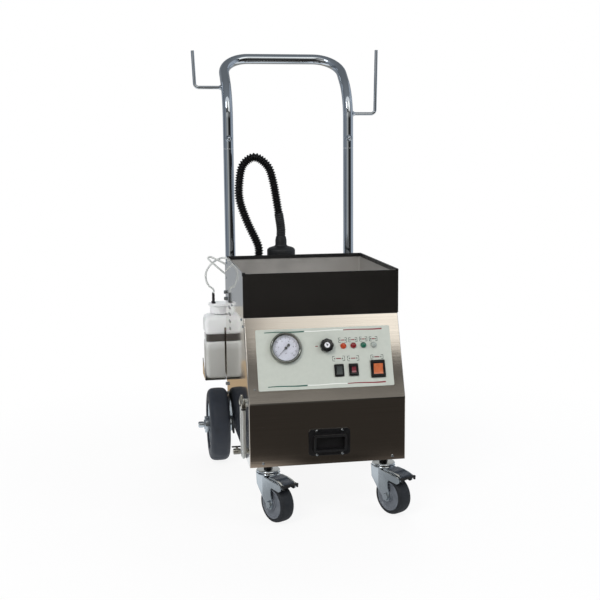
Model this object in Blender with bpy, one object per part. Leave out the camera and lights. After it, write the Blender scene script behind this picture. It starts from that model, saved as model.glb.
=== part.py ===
"""A mobile steam cleaner: a sheet steel cabinet with a sloping control panel and an
accessory tray on top, a chromed push handle, two fixed rear wheels and two braked castors.

Units are metres and +Z is up. Local places are measured from the cabinet's datum: the middle
of its lower front edge, with X to the right, Y to the back and Z up from its underside.
"""
import math

import bmesh
import bpy
from mathutils import Matrix, Vector

for old_object in list(bpy.data.objects):
    bpy.data.objects.remove(old_object, do_unlink=True)

# Clearances and sheet gauges that the whole machine shares
seat_gap = 0.0003
cut_over = 0.002
sheet = 0.0015

# The cabinet
cabinet_width = 0.330
cabinet_depth = 0.468
kick_height = 0.1333
panel_run = 0.066
panel_rise = 0.1693
rim_height = 0.3944
deck_height = 0.376

# The accessory tray on top
deck_strip = 0.0585
tray_hollow = 0.075
tray_wall = 0.0012
tray_front_lap = 0.0013
tray_front_sheet = 0.002

# The castors, which set how high the cabinet stands
castor_wheel_radius = 0.040
castor_axle_drop = 0.076
castor_inset = 0.041
castor_setback = 0.024
castor_trail = 0.031
castor_heading = math.radians(28)
castor_width = 0.032
hub_proud = 0.001
hub_play = 0.0008
pedal_reach = 0.096

# The handle
tube_radius = 0.0125
leg_inset = 0.0155
bar_top = 0.8786
bar_knee = 0.781
bar_rake = math.radians(52)

# Places that follow from these
half_width = cabinet_width / 2
castor_side = half_width - castor_inset
underside = castor_wheel_radius + castor_axle_drop
inner_half = half_width - sheet - seat_gap
panel_top = kick_height + panel_rise
panel_length = math.hypot(panel_run, panel_rise)
panel_tilt = math.atan2(panel_rise, panel_run)
tray_back = cabinet_depth - deck_strip
leg_side = half_width - leg_inset
leg_y = cabinet_depth + seat_gap + tube_radius
bar_top_y = leg_y + (bar_top - bar_knee) * math.tan(bar_rake)
fork_inner = castor_width / 2 + hub_proud + hub_play
pedal_half = fork_inner - seat_gap
front_reach = (castor_setback - pedal_reach * math.cos(castor_heading)
               - pedal_half * math.sin(castor_heading))
rear_reach = bar_top_y + tube_radius
front_y = -(front_reach + rear_reach) / 2


def finish(name, color, roughness, metallic):
    """A Principled BSDF with the part's colour, roughness and metallic value."""
    material = bpy.data.materials.new(name)
    material.use_nodes = True
    shader = material.node_tree.nodes["Principled BSDF"]
    shader.inputs["Base Color"].default_value = (*color, 1)
    shader.inputs["Roughness"].default_value = roughness
    shader.inputs["Metallic"].default_value = metallic
    material.diffuse_color = (*color, 1)
    return material


stainless = finish("stainless steel", (0.42, 0.41, 0.39), 0.30, 1)
black_plate = finish("gloss black plate", (0.015, 0.014, 0.013), 0.15, 0)
label_grey = finish("label plate", (0.55, 0.58, 0.52), 0.40, 0)
chrome = finish("chromed tube", (0.55, 0.58, 0.62), 0.10, 1)
zinc = finish("zinc plated steel", (0.50, 0.52, 0.54), 0.30, 1)
black_steel = finish("black painted steel", (0.02, 0.02, 0.02), 0.50, 0.2)
black_plastic = finish("black plastic", (0.018, 0.018, 0.018), 0.45, 0)
tyre_rubber = finish("tyre rubber", (0.045, 0.052, 0.068), 0.70, 0)
castor_rubber = finish("castor tread", (0.035, 0.038, 0.042), 0.65, 0)
hub_grey = finish("grey hub plastic", (0.21, 0.23, 0.26), 0.45, 0)
milky = finish("milky polythene", (0.62, 0.66, 0.66), 0.35, 0)
dial_white = finish("gauge dial", (0.62, 0.61, 0.66), 0.40, 0)
clear_glass = finish("clear glass", (0.80, 0.84, 0.84), 0.05, 0)
needle_black = finish("needle", (0.02, 0.02, 0.02), 0.40, 0)
orange = finish("orange lens", (0.53, 0.05, 0.01), 0.25, 0)
red = finish("red lens", (0.27, 0.01, 0.01), 0.25, 0)
green = finish("green lens", (0.01, 0.11, 0.07), 0.25, 0)
brass = finish("brass", (0.55, 0.40, 0.15), 0.35, 1)
braid = finish("braided hose", (0.55, 0.55, 0.52), 0.35, 0.8)


def empty(name, parent, place=(0, 0, 0), turn=(0, 0, 0)):
    """A frame that pieces are placed from."""
    frame = bpy.data.objects.new(name, None)
    bpy.context.collection.objects.link(frame)
    frame.parent = parent
    frame.location = place
    frame.rotation_euler = turn
    return frame


def make(name, bm, material, parent, place=(0, 0, 0), turn=(0, 0, 0)):
    """Turn a bmesh into a named object under a parent."""
    bmesh.ops.recalc_face_normals(bm, faces=bm.faces[:])
    mesh = bpy.data.meshes.new(name)
    bm.to_mesh(mesh)
    bm.free()
    mesh.shade_smooth()
    mesh.set_sharp_from_angle(angle=math.radians(35))
    piece = bpy.data.objects.new(name, mesh)
    bpy.context.collection.objects.link(piece)
    piece.data.materials.append(material)
    piece.parent = parent
    piece.location = place
    piece.rotation_euler = turn
    return piece


def block(low, high):
    """A bmesh box between two corners."""
    bm = bmesh.new()
    low, high = Vector(low), Vector(high)
    bmesh.ops.create_cube(bm, size=1)
    bmesh.ops.scale(bm, vec=high - low, verts=bm.verts[:])
    bmesh.ops.translate(bm, vec=(low + high) / 2, verts=bm.verts[:])
    return bm


def slab(outline, low, high, along="Z"):
    """A bmesh of a flat outline pulled along one axis. The outline's two numbers are
    (y, z) along X, (x, z) along Y and (x, y) along Z."""
    def point(first, second, depth):
        return {"X": (depth, first, second), "Y": (first, depth, second),
                "Z": (first, second, depth)}[along]
    bm = bmesh.new()
    corners = [bm.verts.new(point(first, second, low)) for first, second in outline]
    face = bm.faces.new(corners)
    pulled = bmesh.ops.extrude_face_region(bm, geom=[face])["geom"]
    moved = [item for item in pulled if isinstance(item, bmesh.types.BMVert)]
    bmesh.ops.translate(bm, vec=Vector(point(0, 0, high - low)), verts=moved)
    return bm


def turned(profile, segments=24):
    """A bmesh of a profile of (radius, z) points turned about Z. A profile that starts and
    ends on the axis is solid, and any other is a closed ring."""
    bm = bmesh.new()
    points = [bm.verts.new((radius, 0, height)) for radius, height in profile]
    edges = [bm.edges.new(pair) for pair in zip(points, points[1:])]
    if profile[0][0] > 0:
        edges.append(bm.edges.new((points[-1], points[0])))
    bmesh.ops.spin(bm, geom=points + edges, axis=(0, 0, 1), cent=(0, 0, 0),
                   angle=math.tau, steps=segments, use_merge=True)
    bmesh.ops.remove_doubles(bm, verts=bm.verts[:], dist=seat_gap / 100)
    return bm


def rod(radius, low, high, segments=24):
    """A bmesh of a plain round rod along Z."""
    return turned([(0, low), (radius, low), (radius, high), (0, high)], segments)


def lofted(rings):
    """A bmesh through rings of equal point counts, closed by a flat face at each end."""
    bm = bmesh.new()
    loops = [[bm.verts.new(point) for point in ring] for ring in rings]
    for lower, upper in zip(loops, loops[1:]):
        for index in range(len(lower)):
            after = (index + 1) % len(lower)
            bm.faces.new((lower[index], lower[after], upper[after], upper[index]))
    bm.faces.new(loops[0])
    bm.faces.new(loops[-1])
    return bm


def rounded_ring(width, depth, radius, height, steps=3, middle=(0, 0), slope=0):
    """A ring of points round a rectangle with round corners. The slope lifts it along Y."""
    ring = []
    for quarter in range(4):
        side_x = 1 if quarter in (0, 3) else -1
        side_y = 1 if quarter in (0, 1) else -1
        for step in range(steps + 1):
            angle = (quarter + step / steps) * math.pi / 2
            x = side_x * (width / 2 - radius) + radius * math.cos(angle)
            y = side_y * (depth / 2 - radius) + radius * math.sin(angle)
            ring.append((middle[0] + x, middle[1] + y, height + slope * y))
    return ring


def round_ring(radius, height, count, middle=(0, 0)):
    """A ring of points round a circle, which starts where rounded_ring does."""
    return [(middle[0] + radius * math.cos(math.tau * index / count),
             middle[1] + radius * math.sin(math.tau * index / count), height)
            for index in range(count)]


def rectangle(width, height, level):
    """A ring of four points, the corners of a rectangle."""
    return [(-width / 2, -height / 2, level), (width / 2, -height / 2, level),
            (width / 2, height / 2, level), (-width / 2, height / 2, level)]


def arc(middle, radius, angles):
    """Points on a circle at angles in degrees, as (first, second) pairs."""
    return [(middle[0] + radius * math.cos(math.radians(angle)),
             middle[1] + radius * math.sin(math.radians(angle))) for angle in angles]


def cutter(name, bm, parent, place=(0, 0, 0), turn=(0, 0, 0)):
    """A body that only cuts or joins, and is no piece of the machine."""
    guide = make(name, bm, black_plastic, parent, place, turn)
    guide.hide_render = True
    guide.display_type = "WIRE"
    return guide


def combine(piece, guide, operation):
    """Cut a guide out of a piece, or weld it on."""
    step = piece.modifiers.new(f"{operation} {guide.name}", "BOOLEAN")
    step.operation = operation
    step.solver = "EXACT"
    step.object = guide


def cut(piece, *guides):
    for guide in guides:
        combine(piece, guide, "DIFFERENCE")


def weld(piece, *guides):
    for guide in guides:
        combine(piece, guide, "UNION")


def offset_line(points, distance):
    """A line of (first, second) points moved to its right side by a distance, mitred."""
    moved = []
    for index, point in enumerate(points):
        here = Vector(point)
        normals = []
        if index > 0:
            run = (here - Vector(points[index - 1])).normalized()
            normals.append(Vector((run.y, -run.x)))
        if index < len(points) - 1:
            run = (Vector(points[index + 1]) - here).normalized()
            normals.append(Vector((run.y, -run.x)))
        mitre = sum(normals, Vector((0, 0))).normalized()
        moved.append(tuple(here + mitre * distance / mitre.dot(normals[0])))
    return moved


def folded(points, thickness):
    """The closed outline of a folded sheet whose outer face runs through the points."""
    return points + offset_line(points, thickness)[::-1]


def filleted(points, radii, steps):
    """A line of points whose inner corners are rounded to the given radii."""
    line = [Vector(points[0])]
    for index, radius in enumerate(radii, start=1):
        before = (Vector(points[index - 1]) - Vector(points[index])).normalized()
        after = (Vector(points[index + 1]) - Vector(points[index])).normalized()
        half_angle = before.angle(after) / 2
        to_middle = (before + after).normalized()
        middle = Vector(points[index]) + to_middle * radius / math.sin(half_angle)
        start = Vector(points[index]) + before * radius / math.tan(half_angle)
        axis = (start - middle).cross(to_middle)
        for step in range(steps + 1):
            share = step / steps
            swing = Matrix.Rotation(-(math.pi - 2 * half_angle) * share, 3, axis.normalized())
            spoke = start - middle
            line.append(middle + swing @ spoke)
    line.append(Vector(points[-1]))
    return line


def smooth_route(points, spacing):
    """Evenly spaced points along a smooth curve through the route's own points."""
    fine_steps = 40
    route = [Vector(point) for point in points]
    route = [2 * route[0] - route[1]] + route + [2 * route[-1] - route[-2]]
    fine = []
    for index in range(1, len(route) - 2):
        before, start, end, after = route[index - 1:index + 3]
        for step in range(fine_steps):
            t = step / fine_steps
            fine.append((2 * start + (end - before) * t
                         + (2 * before - 5 * start + 4 * end - after) * t ** 2
                         + (3 * start - before - 3 * end + after) * t ** 3) / 2)
    fine.append(route[-2])
    lengths = [0]
    for start, end in zip(fine, fine[1:]):
        lengths.append(lengths[-1] + (end - start).length)
    count = max(2, round(lengths[-1] / spacing))
    evenly = []
    index = 0
    for step in range(count + 1):
        target = lengths[-1] * step / count
        while index < len(fine) - 2 and lengths[index + 1] < target:
            index += 1
        stretch = lengths[index + 1] - lengths[index]
        evenly.append(fine[index].lerp(fine[index + 1], (target - lengths[index]) / stretch))
    return evenly, lengths[-1]


def tube_mesh(name, line, radius, resolution, radii=None):
    """A bmesh of a round tube along a line of points, with filled ends."""
    curve = bpy.data.curves.new(name, "CURVE")
    curve.dimensions = "3D"
    curve.bevel_depth = radius
    curve.bevel_resolution = resolution
    curve.use_fill_caps = True
    spline = curve.splines.new("POLY")
    spline.points.add(len(line) - 1)
    for index, point in enumerate(line):
        spline.points[index].co = (*point, 1)
        if radii:
            spline.points[index].radius = radii[index] / radius
    guide = bpy.data.objects.new(name, curve)
    bpy.context.collection.objects.link(guide)
    mesh = bpy.data.meshes.new_from_object(guide)
    bm = bmesh.new()
    bm.from_mesh(mesh)
    bmesh.ops.remove_doubles(bm, verts=bm.verts[:], dist=seat_gap / 100)
    bpy.data.objects.remove(guide, do_unlink=True)
    bpy.data.curves.remove(curve)
    bpy.data.meshes.remove(mesh)
    return bm


cabinet = empty("cabinet_frame", None, (0, front_y, underside))
panel_face = empty("panel_face", cabinet, (0, 0, kick_height), (panel_tilt, 0, 0))
kick_face = empty("kick_face", cabinet, (0, 0, 0), (math.pi / 2, 0, 0))

# Folded sheet cabinet: base, sloping front, two sides and a back with its rear deck
base_sheet = 0.002
base_flange = 0.010
front_flange = 0.012
vent_count = 6
vent_length = 0.060
vent_width = 0.004
vent_pitch = 0.014
vent_height = 0.120
base_hole_radius = 0.006

inner_front = sheet + seat_gap
inner_back = cabinet_depth - sheet - seat_gap
base = make("base_plate", slab(folded([(-inner_half, base_flange), (-inner_half, 0),
                                       (inner_half, 0), (inner_half, base_flange)], -base_sheet),
                               inner_front, inner_back, "Y"), stainless, cabinet)
cut(base, cutter("base_vent_hole", rod(base_hole_radius, -cut_over, base_sheet + cut_over),
                 cabinet, (0, cabinet_depth / 2, 0)))

front_line = [(0, 0), (0, kick_height), (panel_run, panel_top),
              (panel_run + front_flange, panel_top)]
front_panel = make("front_panel", slab(folded(front_line, sheet), -half_width, half_width, "X"),
                   stainless, cabinet)

front_inside = offset_line(front_line, sheet + seat_gap)
wall_front = panel_run + tray_front_sheet + 2 * seat_gap
under_deck = deck_height - sheet - seat_gap
side_outline = front_inside[:3] + [
    (panel_run + front_flange + seat_gap, panel_top - sheet - seat_gap),
    (panel_run + front_flange + seat_gap, panel_top + seat_gap),
    (wall_front, panel_top + seat_gap),
    (wall_front, rim_height),
    (tray_back, rim_height),
    (tray_back, under_deck),
    (inner_back, under_deck),
    (inner_back, 0)]
side_left = make("side_panel_left", slab(side_outline, -half_width, -half_width + sheet, "X"),
                 stainless, cabinet)
side_right = make("side_panel_right", slab(side_outline, half_width - sheet, half_width, "X"),
                  stainless, cabinet)

back_line = [(tray_back + seat_gap, deck_height), (cabinet_depth, deck_height),
             (cabinet_depth, 0)]
rear_panel = make("rear_panel", slab(folded(back_line, sheet), -half_width, half_width, "X"),
                  stainless, cabinet)
for index in range(vent_count):
    height = vent_height + index * vent_pitch
    vent = cutter(f"rear_vent_{index}",
                  block((-vent_length / 2, cabinet_depth - sheet - cut_over, height),
                        (vent_length / 2, cabinet_depth + cut_over, height + vent_width)), cabinet)
    cut(rear_panel, vent)

# Accessory tray: a thin tub hung between the side panels, behind a gloss black front plate
tub_front = wall_front
tub_floor = rim_height - tray_hollow - tray_wall
tub_hollow = block((-inner_half + tray_wall, tub_front + tray_wall, tub_floor + tray_wall),
                   (inner_half - tray_wall, tray_back - tray_wall, rim_height + cut_over))
tray_front_half = half_width + tray_front_lap
tray = make("accessory_tray", block((-inner_half, tub_front, tub_floor),
                                    (inner_half, tray_back, rim_height)), stainless, cabinet)
cut(tray, cutter("tray_hollow", tub_hollow, cabinet))
make("tray_front_plate", block((-tray_front_half, panel_run, panel_top + seat_gap),
                               (tray_front_half, panel_run + tray_front_sheet, rim_height)),
     black_plate, cabinet)

# Control label plate on the slope, with everything that comes through it
label_margin = 0.0218
label_low = 0.0265
label_top_margin = 0.0271
label_sheet = 0.001
label_corner = 0.003
plate_top = seat_gap + label_sheet
label_width = cabinet_width - 2 * label_margin
label_high = panel_length - label_top_margin
label_plate = make("control_label_plate",
                   lofted([rounded_ring(label_width, label_high - label_low, label_corner, height,
                                        middle=(0, (label_low + label_high) / 2))
                           for height in (seat_gap, plate_top)]), label_grey, panel_face)


def through_panel(name, bm, place):
    """Cut one hole through the label plate and the panel behind it."""
    hole = cutter(name, bm, panel_face, (*place, 0))
    cut(label_plate, hole)
    cut(front_panel, hole)


def panel_hole(radius, segments=24):
    return rod(radius, -sheet - cut_over, plate_top + cut_over, segments)


# Pressure gauge: a steel cup with a bezel, its needle on a pin, and a glass
gauge_place = (-0.0815, 0.1140)
gauge_bezel_radius = 0.034
gauge_body_radius = 0.031
gauge_glass_radius = 0.0295
gauge_depth = 0.028
bezel_height = 0.009
bezel_chamfer = 0.002
dial_lift = 0.001
pin_radius = 0.0016
pin_length = 0.0015
glass_sheet = 0.0015
glass_sink = 0.001
needle_sheet = 0.0008
needle_reach = 0.0215
needle_tail = 0.0085
needle_width = 0.0016
needle_hub = 0.0035
needle_rest = math.radians(225)

bezel_seat = plate_top + seat_gap
dial_level = bezel_seat + dial_lift
pin_top = dial_level + pin_length
bezel_top = bezel_seat + bezel_height
recess_radius = gauge_glass_radius + seat_gap
gauge_at = (*gauge_place, 0)
through_panel("gauge_hole", panel_hole(gauge_body_radius + seat_gap, 24), gauge_place)
make("gauge_case", turned([(0, -gauge_depth), (gauge_body_radius, -gauge_depth),
                           (gauge_body_radius, bezel_seat), (gauge_bezel_radius, bezel_seat),
                           (gauge_bezel_radius, bezel_top - bezel_chamfer),
                           (gauge_bezel_radius - bezel_chamfer, bezel_top),
                           (recess_radius, bezel_top), (recess_radius, dial_level),
                           (pin_radius, dial_level), (pin_radius, pin_top), (0, pin_top)], 24),
     dial_white, panel_face, gauge_at)
make("gauge_glass", rod(gauge_glass_radius, bezel_top - glass_sink - glass_sheet,
                        bezel_top - glass_sink), clear_glass, panel_face, gauge_at)

needle_outline = ([(needle_reach, 0)] + arc((0, 0), needle_hub, range(30, 151, 30))
                  + [(-needle_tail, needle_width), (-needle_tail, -needle_width)]
                  + arc((0, 0), needle_hub, range(210, 331, 30)))
make("gauge_needle", slab(needle_outline, pin_top + seat_gap, pin_top + seat_gap + needle_sheet),
     needle_black, panel_face, gauge_at, (0, 0, needle_rest))

# Four pilot lamps: domed lenses on a stem through the panel
lamp_row = 0.1139
lamp_first = 0.0405
lamp_pitch = 0.0216
lamp_flange = 0.0065
lamp_lens = 0.0052
lamp_stem = 0.0045
lamp_depth = 0.018
lamp_flange_height = 0.0015
lamp_dome = 0.0045
dome_steps = 3
for index, (colour_name, lens) in enumerate((("orange", orange), ("red", red),
                                             ("green", green), ("clear", clear_glass))):
    lamp_at = (lamp_first + index * lamp_pitch, lamp_row)
    through_panel(f"lamp_hole_{index}", panel_hole(lamp_stem + seat_gap, 12), lamp_at)
    dome_foot = plate_top + seat_gap + lamp_flange_height
    dome = [(lamp_lens * math.cos(math.pi / 2 * step / dome_steps),
             dome_foot + lamp_dome * math.sin(math.pi / 2 * step / dome_steps))
            for step in range(dome_steps)]
    make(f"lamp_{colour_name}",
         turned([(0, -lamp_depth), (lamp_stem, -lamp_depth),
                 (lamp_stem, plate_top + seat_gap), (lamp_flange, plate_top + seat_gap),
                 (lamp_flange, dome_foot)] + dome + [(0, dome_foot + lamp_dome)], 14),
         lens, panel_face, (*lamp_at, 0))

# Three rocker switches: a framed housing through the panel, with a rocker on its pivot
switch_row = 0.0625
switch_left_x = 0.0276
switch_middle_x = 0.0584
switch_right_x = 0.1106
small_switch_width = 0.020
small_switch_height = 0.026
large_switch_width = 0.031
large_switch_height = 0.037
switch_border = 0.0025
switch_lip = 0.0015
switch_flange = 0.0022
switch_depth = 0.020
switch_hollow = 0.0085
rocker_play = 0.0010
rocker_rise = 0.0030
rocker_dip = 0.0012
rocker_drop = 0.0055
rocker_swing = math.radians(8)
rocker_foot_share = 0.8
switches = (("left", switch_left_x, small_switch_width, small_switch_height, black_plastic),
            ("middle", switch_middle_x, small_switch_width, small_switch_height, red),
            ("right", switch_right_x, large_switch_width, large_switch_height, orange))
for name, across, width, height, colour in switches:
    switch_at = (across, switch_row)
    flange_foot = plate_top + seat_gap
    flange_top = flange_foot + switch_flange
    body_width, body_height = width - 2 * switch_lip, height - 2 * switch_lip
    mouth_width, mouth_height = width - 2 * switch_border, height - 2 * switch_border
    through_panel(f"switch_hole_{name}",
                  lofted([rectangle(body_width + 2 * seat_gap, body_height + 2 * seat_gap, level)
                          for level in (-sheet - cut_over, plate_top + cut_over)]), switch_at)
    make(f"switch_frame_{name}",
         lofted([rectangle(body_width, body_height, -switch_depth),
                 rectangle(body_width, body_height, flange_foot),
                 rectangle(width, height, flange_foot), rectangle(width, height, flange_top),
                 rectangle(mouth_width, mouth_height, flange_top),
                 rectangle(mouth_width, mouth_height, flange_top - switch_hollow)]),
         black_plastic, panel_face, (*switch_at, 0))
    reach = mouth_height / 2 - rocker_play
    foot = reach * rocker_foot_share
    rocker_outline = [(-foot, -rocker_drop), (foot, -rocker_drop), (reach, 0),
                      (reach, rocker_rise), (0, rocker_rise - rocker_dip),
                      (-reach, rocker_rise), (-reach, 0)]
    rocker_half = mouth_width / 2 - seat_gap
    make(f"rocker_{name}", slab(rocker_outline, -rocker_half, rocker_half, "X"), colour,
         panel_face, (*switch_at, flange_top), (rocker_swing, 0, 0))

# Steam valve behind the panel, and the knob on its spindle
knob_place = (0.0042, 0.1153)
valve_radius = 0.009
valve_length = 0.040
nose_radius = 0.0055
nose_rise = 0.0010
spindle_radius = 0.0030
spindle_length = 0.012
valve_bore_depth = 0.016
knob_radius = 0.015
knob_height = 0.014
knob_lobes = 10
lobe_depth = 0.0008
knob_points = 30
knob_crown_share = 0.90
cap_radius = 0.006
cap_rise = 0.0012

nose_top = plate_top + nose_rise
through_panel("valve_hole", panel_hole(nose_radius + seat_gap, 14), knob_place)
valve_shoulder = -sheet - seat_gap
bore_radius = spindle_radius + seat_gap
make("steam_valve", turned([(0, valve_shoulder - valve_length),
                            (valve_radius, valve_shoulder - valve_length),
                            (valve_radius, valve_shoulder), (nose_radius, valve_shoulder),
                            (nose_radius, nose_top), (bore_radius, nose_top),
                            (bore_radius, nose_top - valve_bore_depth),
                            (0, nose_top - valve_bore_depth)], 14),
     brass, panel_face, (*knob_place, 0))


def scalloped_ring(radius, level):
    ring = []
    for index in range(knob_points):
        angle = math.tau * index / knob_points
        reach = radius + lobe_depth * math.cos(knob_lobes * angle)
        ring.append((reach * math.cos(angle), reach * math.sin(angle), level))
    return ring


knob_foot = nose_top + seat_gap
knob_top = knob_foot + knob_height
crown_foot = knob_foot + knob_height * knob_crown_share
make("steam_knob",
     lofted([round_ring(spindle_radius, nose_top - spindle_length, knob_points),
             round_ring(spindle_radius, knob_foot, knob_points),
             scalloped_ring(knob_radius, knob_foot), scalloped_ring(knob_radius, crown_foot),
             scalloped_ring(knob_radius * knob_crown_share, knob_top),
             round_ring(cap_radius, knob_top, knob_points),
             round_ring(cap_radius, knob_top + cap_rise, knob_points)]),
     black_plastic, panel_face, (*knob_place, 0))

# Outlet socket on the lower front: flange, hooded collar, deep cavity and rear body
socket_place = (0.0018, 0.047)
socket_width = 0.088
socket_height = 0.057
socket_corner = 0.008
socket_flange = 0.003
collar_width = 0.070
collar_height = 0.038
collar_corner = 0.006
collar_reach = 0.011
collar_slope = 0.16
cavity_width = 0.060
cavity_height = 0.027
cavity_corner = 0.003
cavity_depth = 0.022
socket_depth = 0.035

socket_front = seat_gap + socket_flange
socket = make("socket_housing",
              lofted([rounded_ring(collar_width, collar_height, collar_corner, -socket_depth),
                      rounded_ring(collar_width, collar_height, collar_corner, seat_gap),
                      rounded_ring(socket_width, socket_height, socket_corner, seat_gap),
                      rounded_ring(socket_width, socket_height, socket_corner, socket_front),
                      rounded_ring(collar_width, collar_height, collar_corner, socket_front),
                      rounded_ring(collar_width, collar_height, collar_corner,
                                   socket_front + collar_reach, slope=collar_slope),
                      rounded_ring(cavity_width, cavity_height, cavity_corner,
                                   socket_front + collar_reach, slope=collar_slope),
                      rounded_ring(cavity_width, cavity_height, cavity_corner, -cavity_depth)]),
              black_plastic, kick_face, (*socket_place, 0))
cut(front_panel, cutter("socket_hole",
                        lofted([rounded_ring(collar_width + 2 * seat_gap,
                                             collar_height + 2 * seat_gap, collar_corner, level)
                                for level in (-sheet - cut_over, cut_over)]),
                        kick_face, (*socket_place, 0)))

# Push handle: two legs behind the cabinet and a bar that slips over their turned down tops
leg_foot = 0.012
joint_height = 0.652
spigot_radius = 0.0102
spigot_length = 0.050
knee_radius = 0.117
corner_radius = 0.066
bend_steps = 6

for side, name in ((-1, "left"), (1, "right")):
    make(f"handle_leg_{name}",
         turned([(0, leg_foot), (tube_radius, leg_foot), (tube_radius, joint_height),
                 (spigot_radius, joint_height), (spigot_radius, joint_height + spigot_length),
                 (0, joint_height + spigot_length)]), chrome, cabinet, (side * leg_side, leg_y, 0))
bar_foot = joint_height + seat_gap
bar_line = filleted([(-leg_side, leg_y, bar_foot), (-leg_side, leg_y, bar_knee),
                     (-leg_side, bar_top_y, bar_top), (leg_side, bar_top_y, bar_top),
                     (leg_side, leg_y, bar_knee), (leg_side, leg_y, bar_foot)],
                    [knee_radius, corner_radius, corner_radius, knee_radius], bend_steps)
bar = make("handle_bar", tube_mesh("handle_bar_line", bar_line, tube_radius, 4), chrome, cabinet)
for side, name in ((-1, "left"), (1, "right")):
    bore = rod(spigot_radius + seat_gap, bar_foot - cut_over,
               joint_height + spigot_length + seat_gap)
    cut(bar, cutter(f"bar_bore_{name}", bore, cabinet, (side * leg_side, leg_y, 0)))


def bar_setback(height):
    """How far back the handle's centre line lies at a height, on its lower bend."""
    bend_start = bar_knee - knee_radius * math.tan(bar_rake / 2)
    if height <= bend_start:
        return leg_y
    return leg_y + knee_radius - math.sqrt(knee_radius ** 2 - (height - bend_start) ** 2)


# Two bent rod hooks, welded to the handle's sides to hang the hose and the lead on
hook_radius = 0.004
hook_bend = 0.010
hook_steps = 4
left_hook_height = 0.801
left_hook_reach = 0.0765
left_hook_lean = 0.008
left_hook_rise = 0.084
right_hook_height = 0.736
right_hook_reach = 0.0685
right_hook_lean = 0.003
right_hook_rise = 0.1545
hooks = (("left", -1, left_hook_height, left_hook_reach, left_hook_lean, left_hook_rise),
         ("right", 1, right_hook_height, right_hook_reach, right_hook_lean, right_hook_rise))
for name, side, height, reach, lean, rise in hooks:
    hook_y = bar_setback(height)
    root = leg_side + tube_radius + seat_gap
    elbow = leg_side + reach
    hook_line = filleted([(side * root, hook_y, height), (side * elbow, hook_y, height),
                          (side * (elbow + lean), hook_y, height + rise)], [hook_bend], hook_steps)
    make(f"hook_{name}", tube_mesh(f"hook_{name}_line", hook_line, hook_radius, 2),
         chrome, cabinet)

# Rear axle under the cabinet, in a bent channel, with a wheel on each end
rear_wheel_radius = 0.090
rear_wheel_width = 0.045
rear_wheel_set_in = 0.027
tyre_shoulder = 0.010
tyre_bore = 0.061
rim_lip = 0.003
rim_wall = 0.004
rim_web = 0.005
hub_radius = 0.019
hub_inboard = 0.033
hub_outboard = 0.026
hub_clearance = 0.0005
axle_radius = 0.008
axle_show = 0.0045
axle_tip_radius = 0.0095
axle_tip_length = 0.020
axle_tip_round = 0.003
carrier_inset = 0.007
carrier_sheet = 0.004
carrier_length = 0.050
carrier_drop = 0.046
wheel_segments = 26

axle_height = rear_wheel_radius - underside
rear_wheel_y = cabinet_depth - rear_wheel_set_in
carrier_half = half_width - carrier_inset
rear_wheel_side = carrier_half + hub_clearance + hub_inboard
axle_half = rear_wheel_side + hub_outboard + axle_show + axle_tip_length
tip_start = axle_half - axle_tip_length
axle_half_profile = [(axle_radius, tip_start), (axle_tip_radius, tip_start),
                     (axle_tip_radius, axle_half - axle_tip_round),
                     (axle_tip_radius - axle_tip_round, axle_half), (0, axle_half)]
axle_profile = [(radius, -along) for radius, along in axle_half_profile[::-1]]
make("rear_axle", turned(axle_profile + axle_half_profile, 14), zinc, cabinet,
     (0, rear_wheel_y, axle_height), (0, math.pi / 2, 0))

carrier = make("axle_carrier",
               slab(folded([(-carrier_half, -carrier_drop), (-carrier_half, -seat_gap),
                            (carrier_half, -seat_gap), (carrier_half, -carrier_drop)],
                           carrier_sheet),
                    rear_wheel_y - carrier_length / 2, rear_wheel_y + carrier_length / 2, "Y"),
               black_steel, cabinet)
for side, name in ((-1, "left"), (1, "right")):
    ear = side * (carrier_half - carrier_sheet / 2)
    hole_half = carrier_sheet / 2 + cut_over
    hole = rod(axle_radius + seat_gap, -hole_half, hole_half)
    cut(carrier, cutter(f"carrier_hole_{name}", hole, cabinet,
                        (ear, rear_wheel_y, axle_height), (0, math.pi / 2, 0)))

half_tyre = rear_wheel_width / 2
rim_radius = tyre_bore - seat_gap
tyre_profile = [(tyre_bore, -half_tyre), (rear_wheel_radius - tyre_shoulder, -half_tyre),
                (rear_wheel_radius - tyre_shoulder / 3, -half_tyre + tyre_shoulder / 3),
                (rear_wheel_radius, -half_tyre + tyre_shoulder),
                (rear_wheel_radius, half_tyre - tyre_shoulder),
                (rear_wheel_radius - tyre_shoulder / 3, half_tyre - tyre_shoulder / 3),
                (rear_wheel_radius - tyre_shoulder, half_tyre), (tyre_bore, half_tyre)]
rim_half = half_tyre - rim_lip
rim_profile = [(axle_radius + seat_gap, -hub_inboard), (hub_radius, -hub_inboard),
               (hub_radius, -rim_web / 2), (rim_radius - rim_wall, -rim_web / 2),
               (rim_radius - rim_wall, -rim_half), (rim_radius, -rim_half),
               (rim_radius, rim_half), (rim_radius - rim_wall, rim_half),
               (rim_radius - rim_wall, rim_web / 2), (hub_radius, rim_web / 2),
               (hub_radius, hub_outboard), (axle_radius + seat_gap, hub_outboard)]
for side, name in ((-1, "left"), (1, "right")):
    wheel_at = (side * rear_wheel_side, rear_wheel_y, axle_height)
    facing = (0, side * math.pi / 2, 0)
    make(f"wheel_tyre_{name}", turned(tyre_profile, wheel_segments), tyre_rubber, cabinet,
         wheel_at, facing)
    make(f"wheel_rim_{name}", turned(rim_profile, wheel_segments), zinc, cabinet,
         wheel_at, facing)

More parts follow.
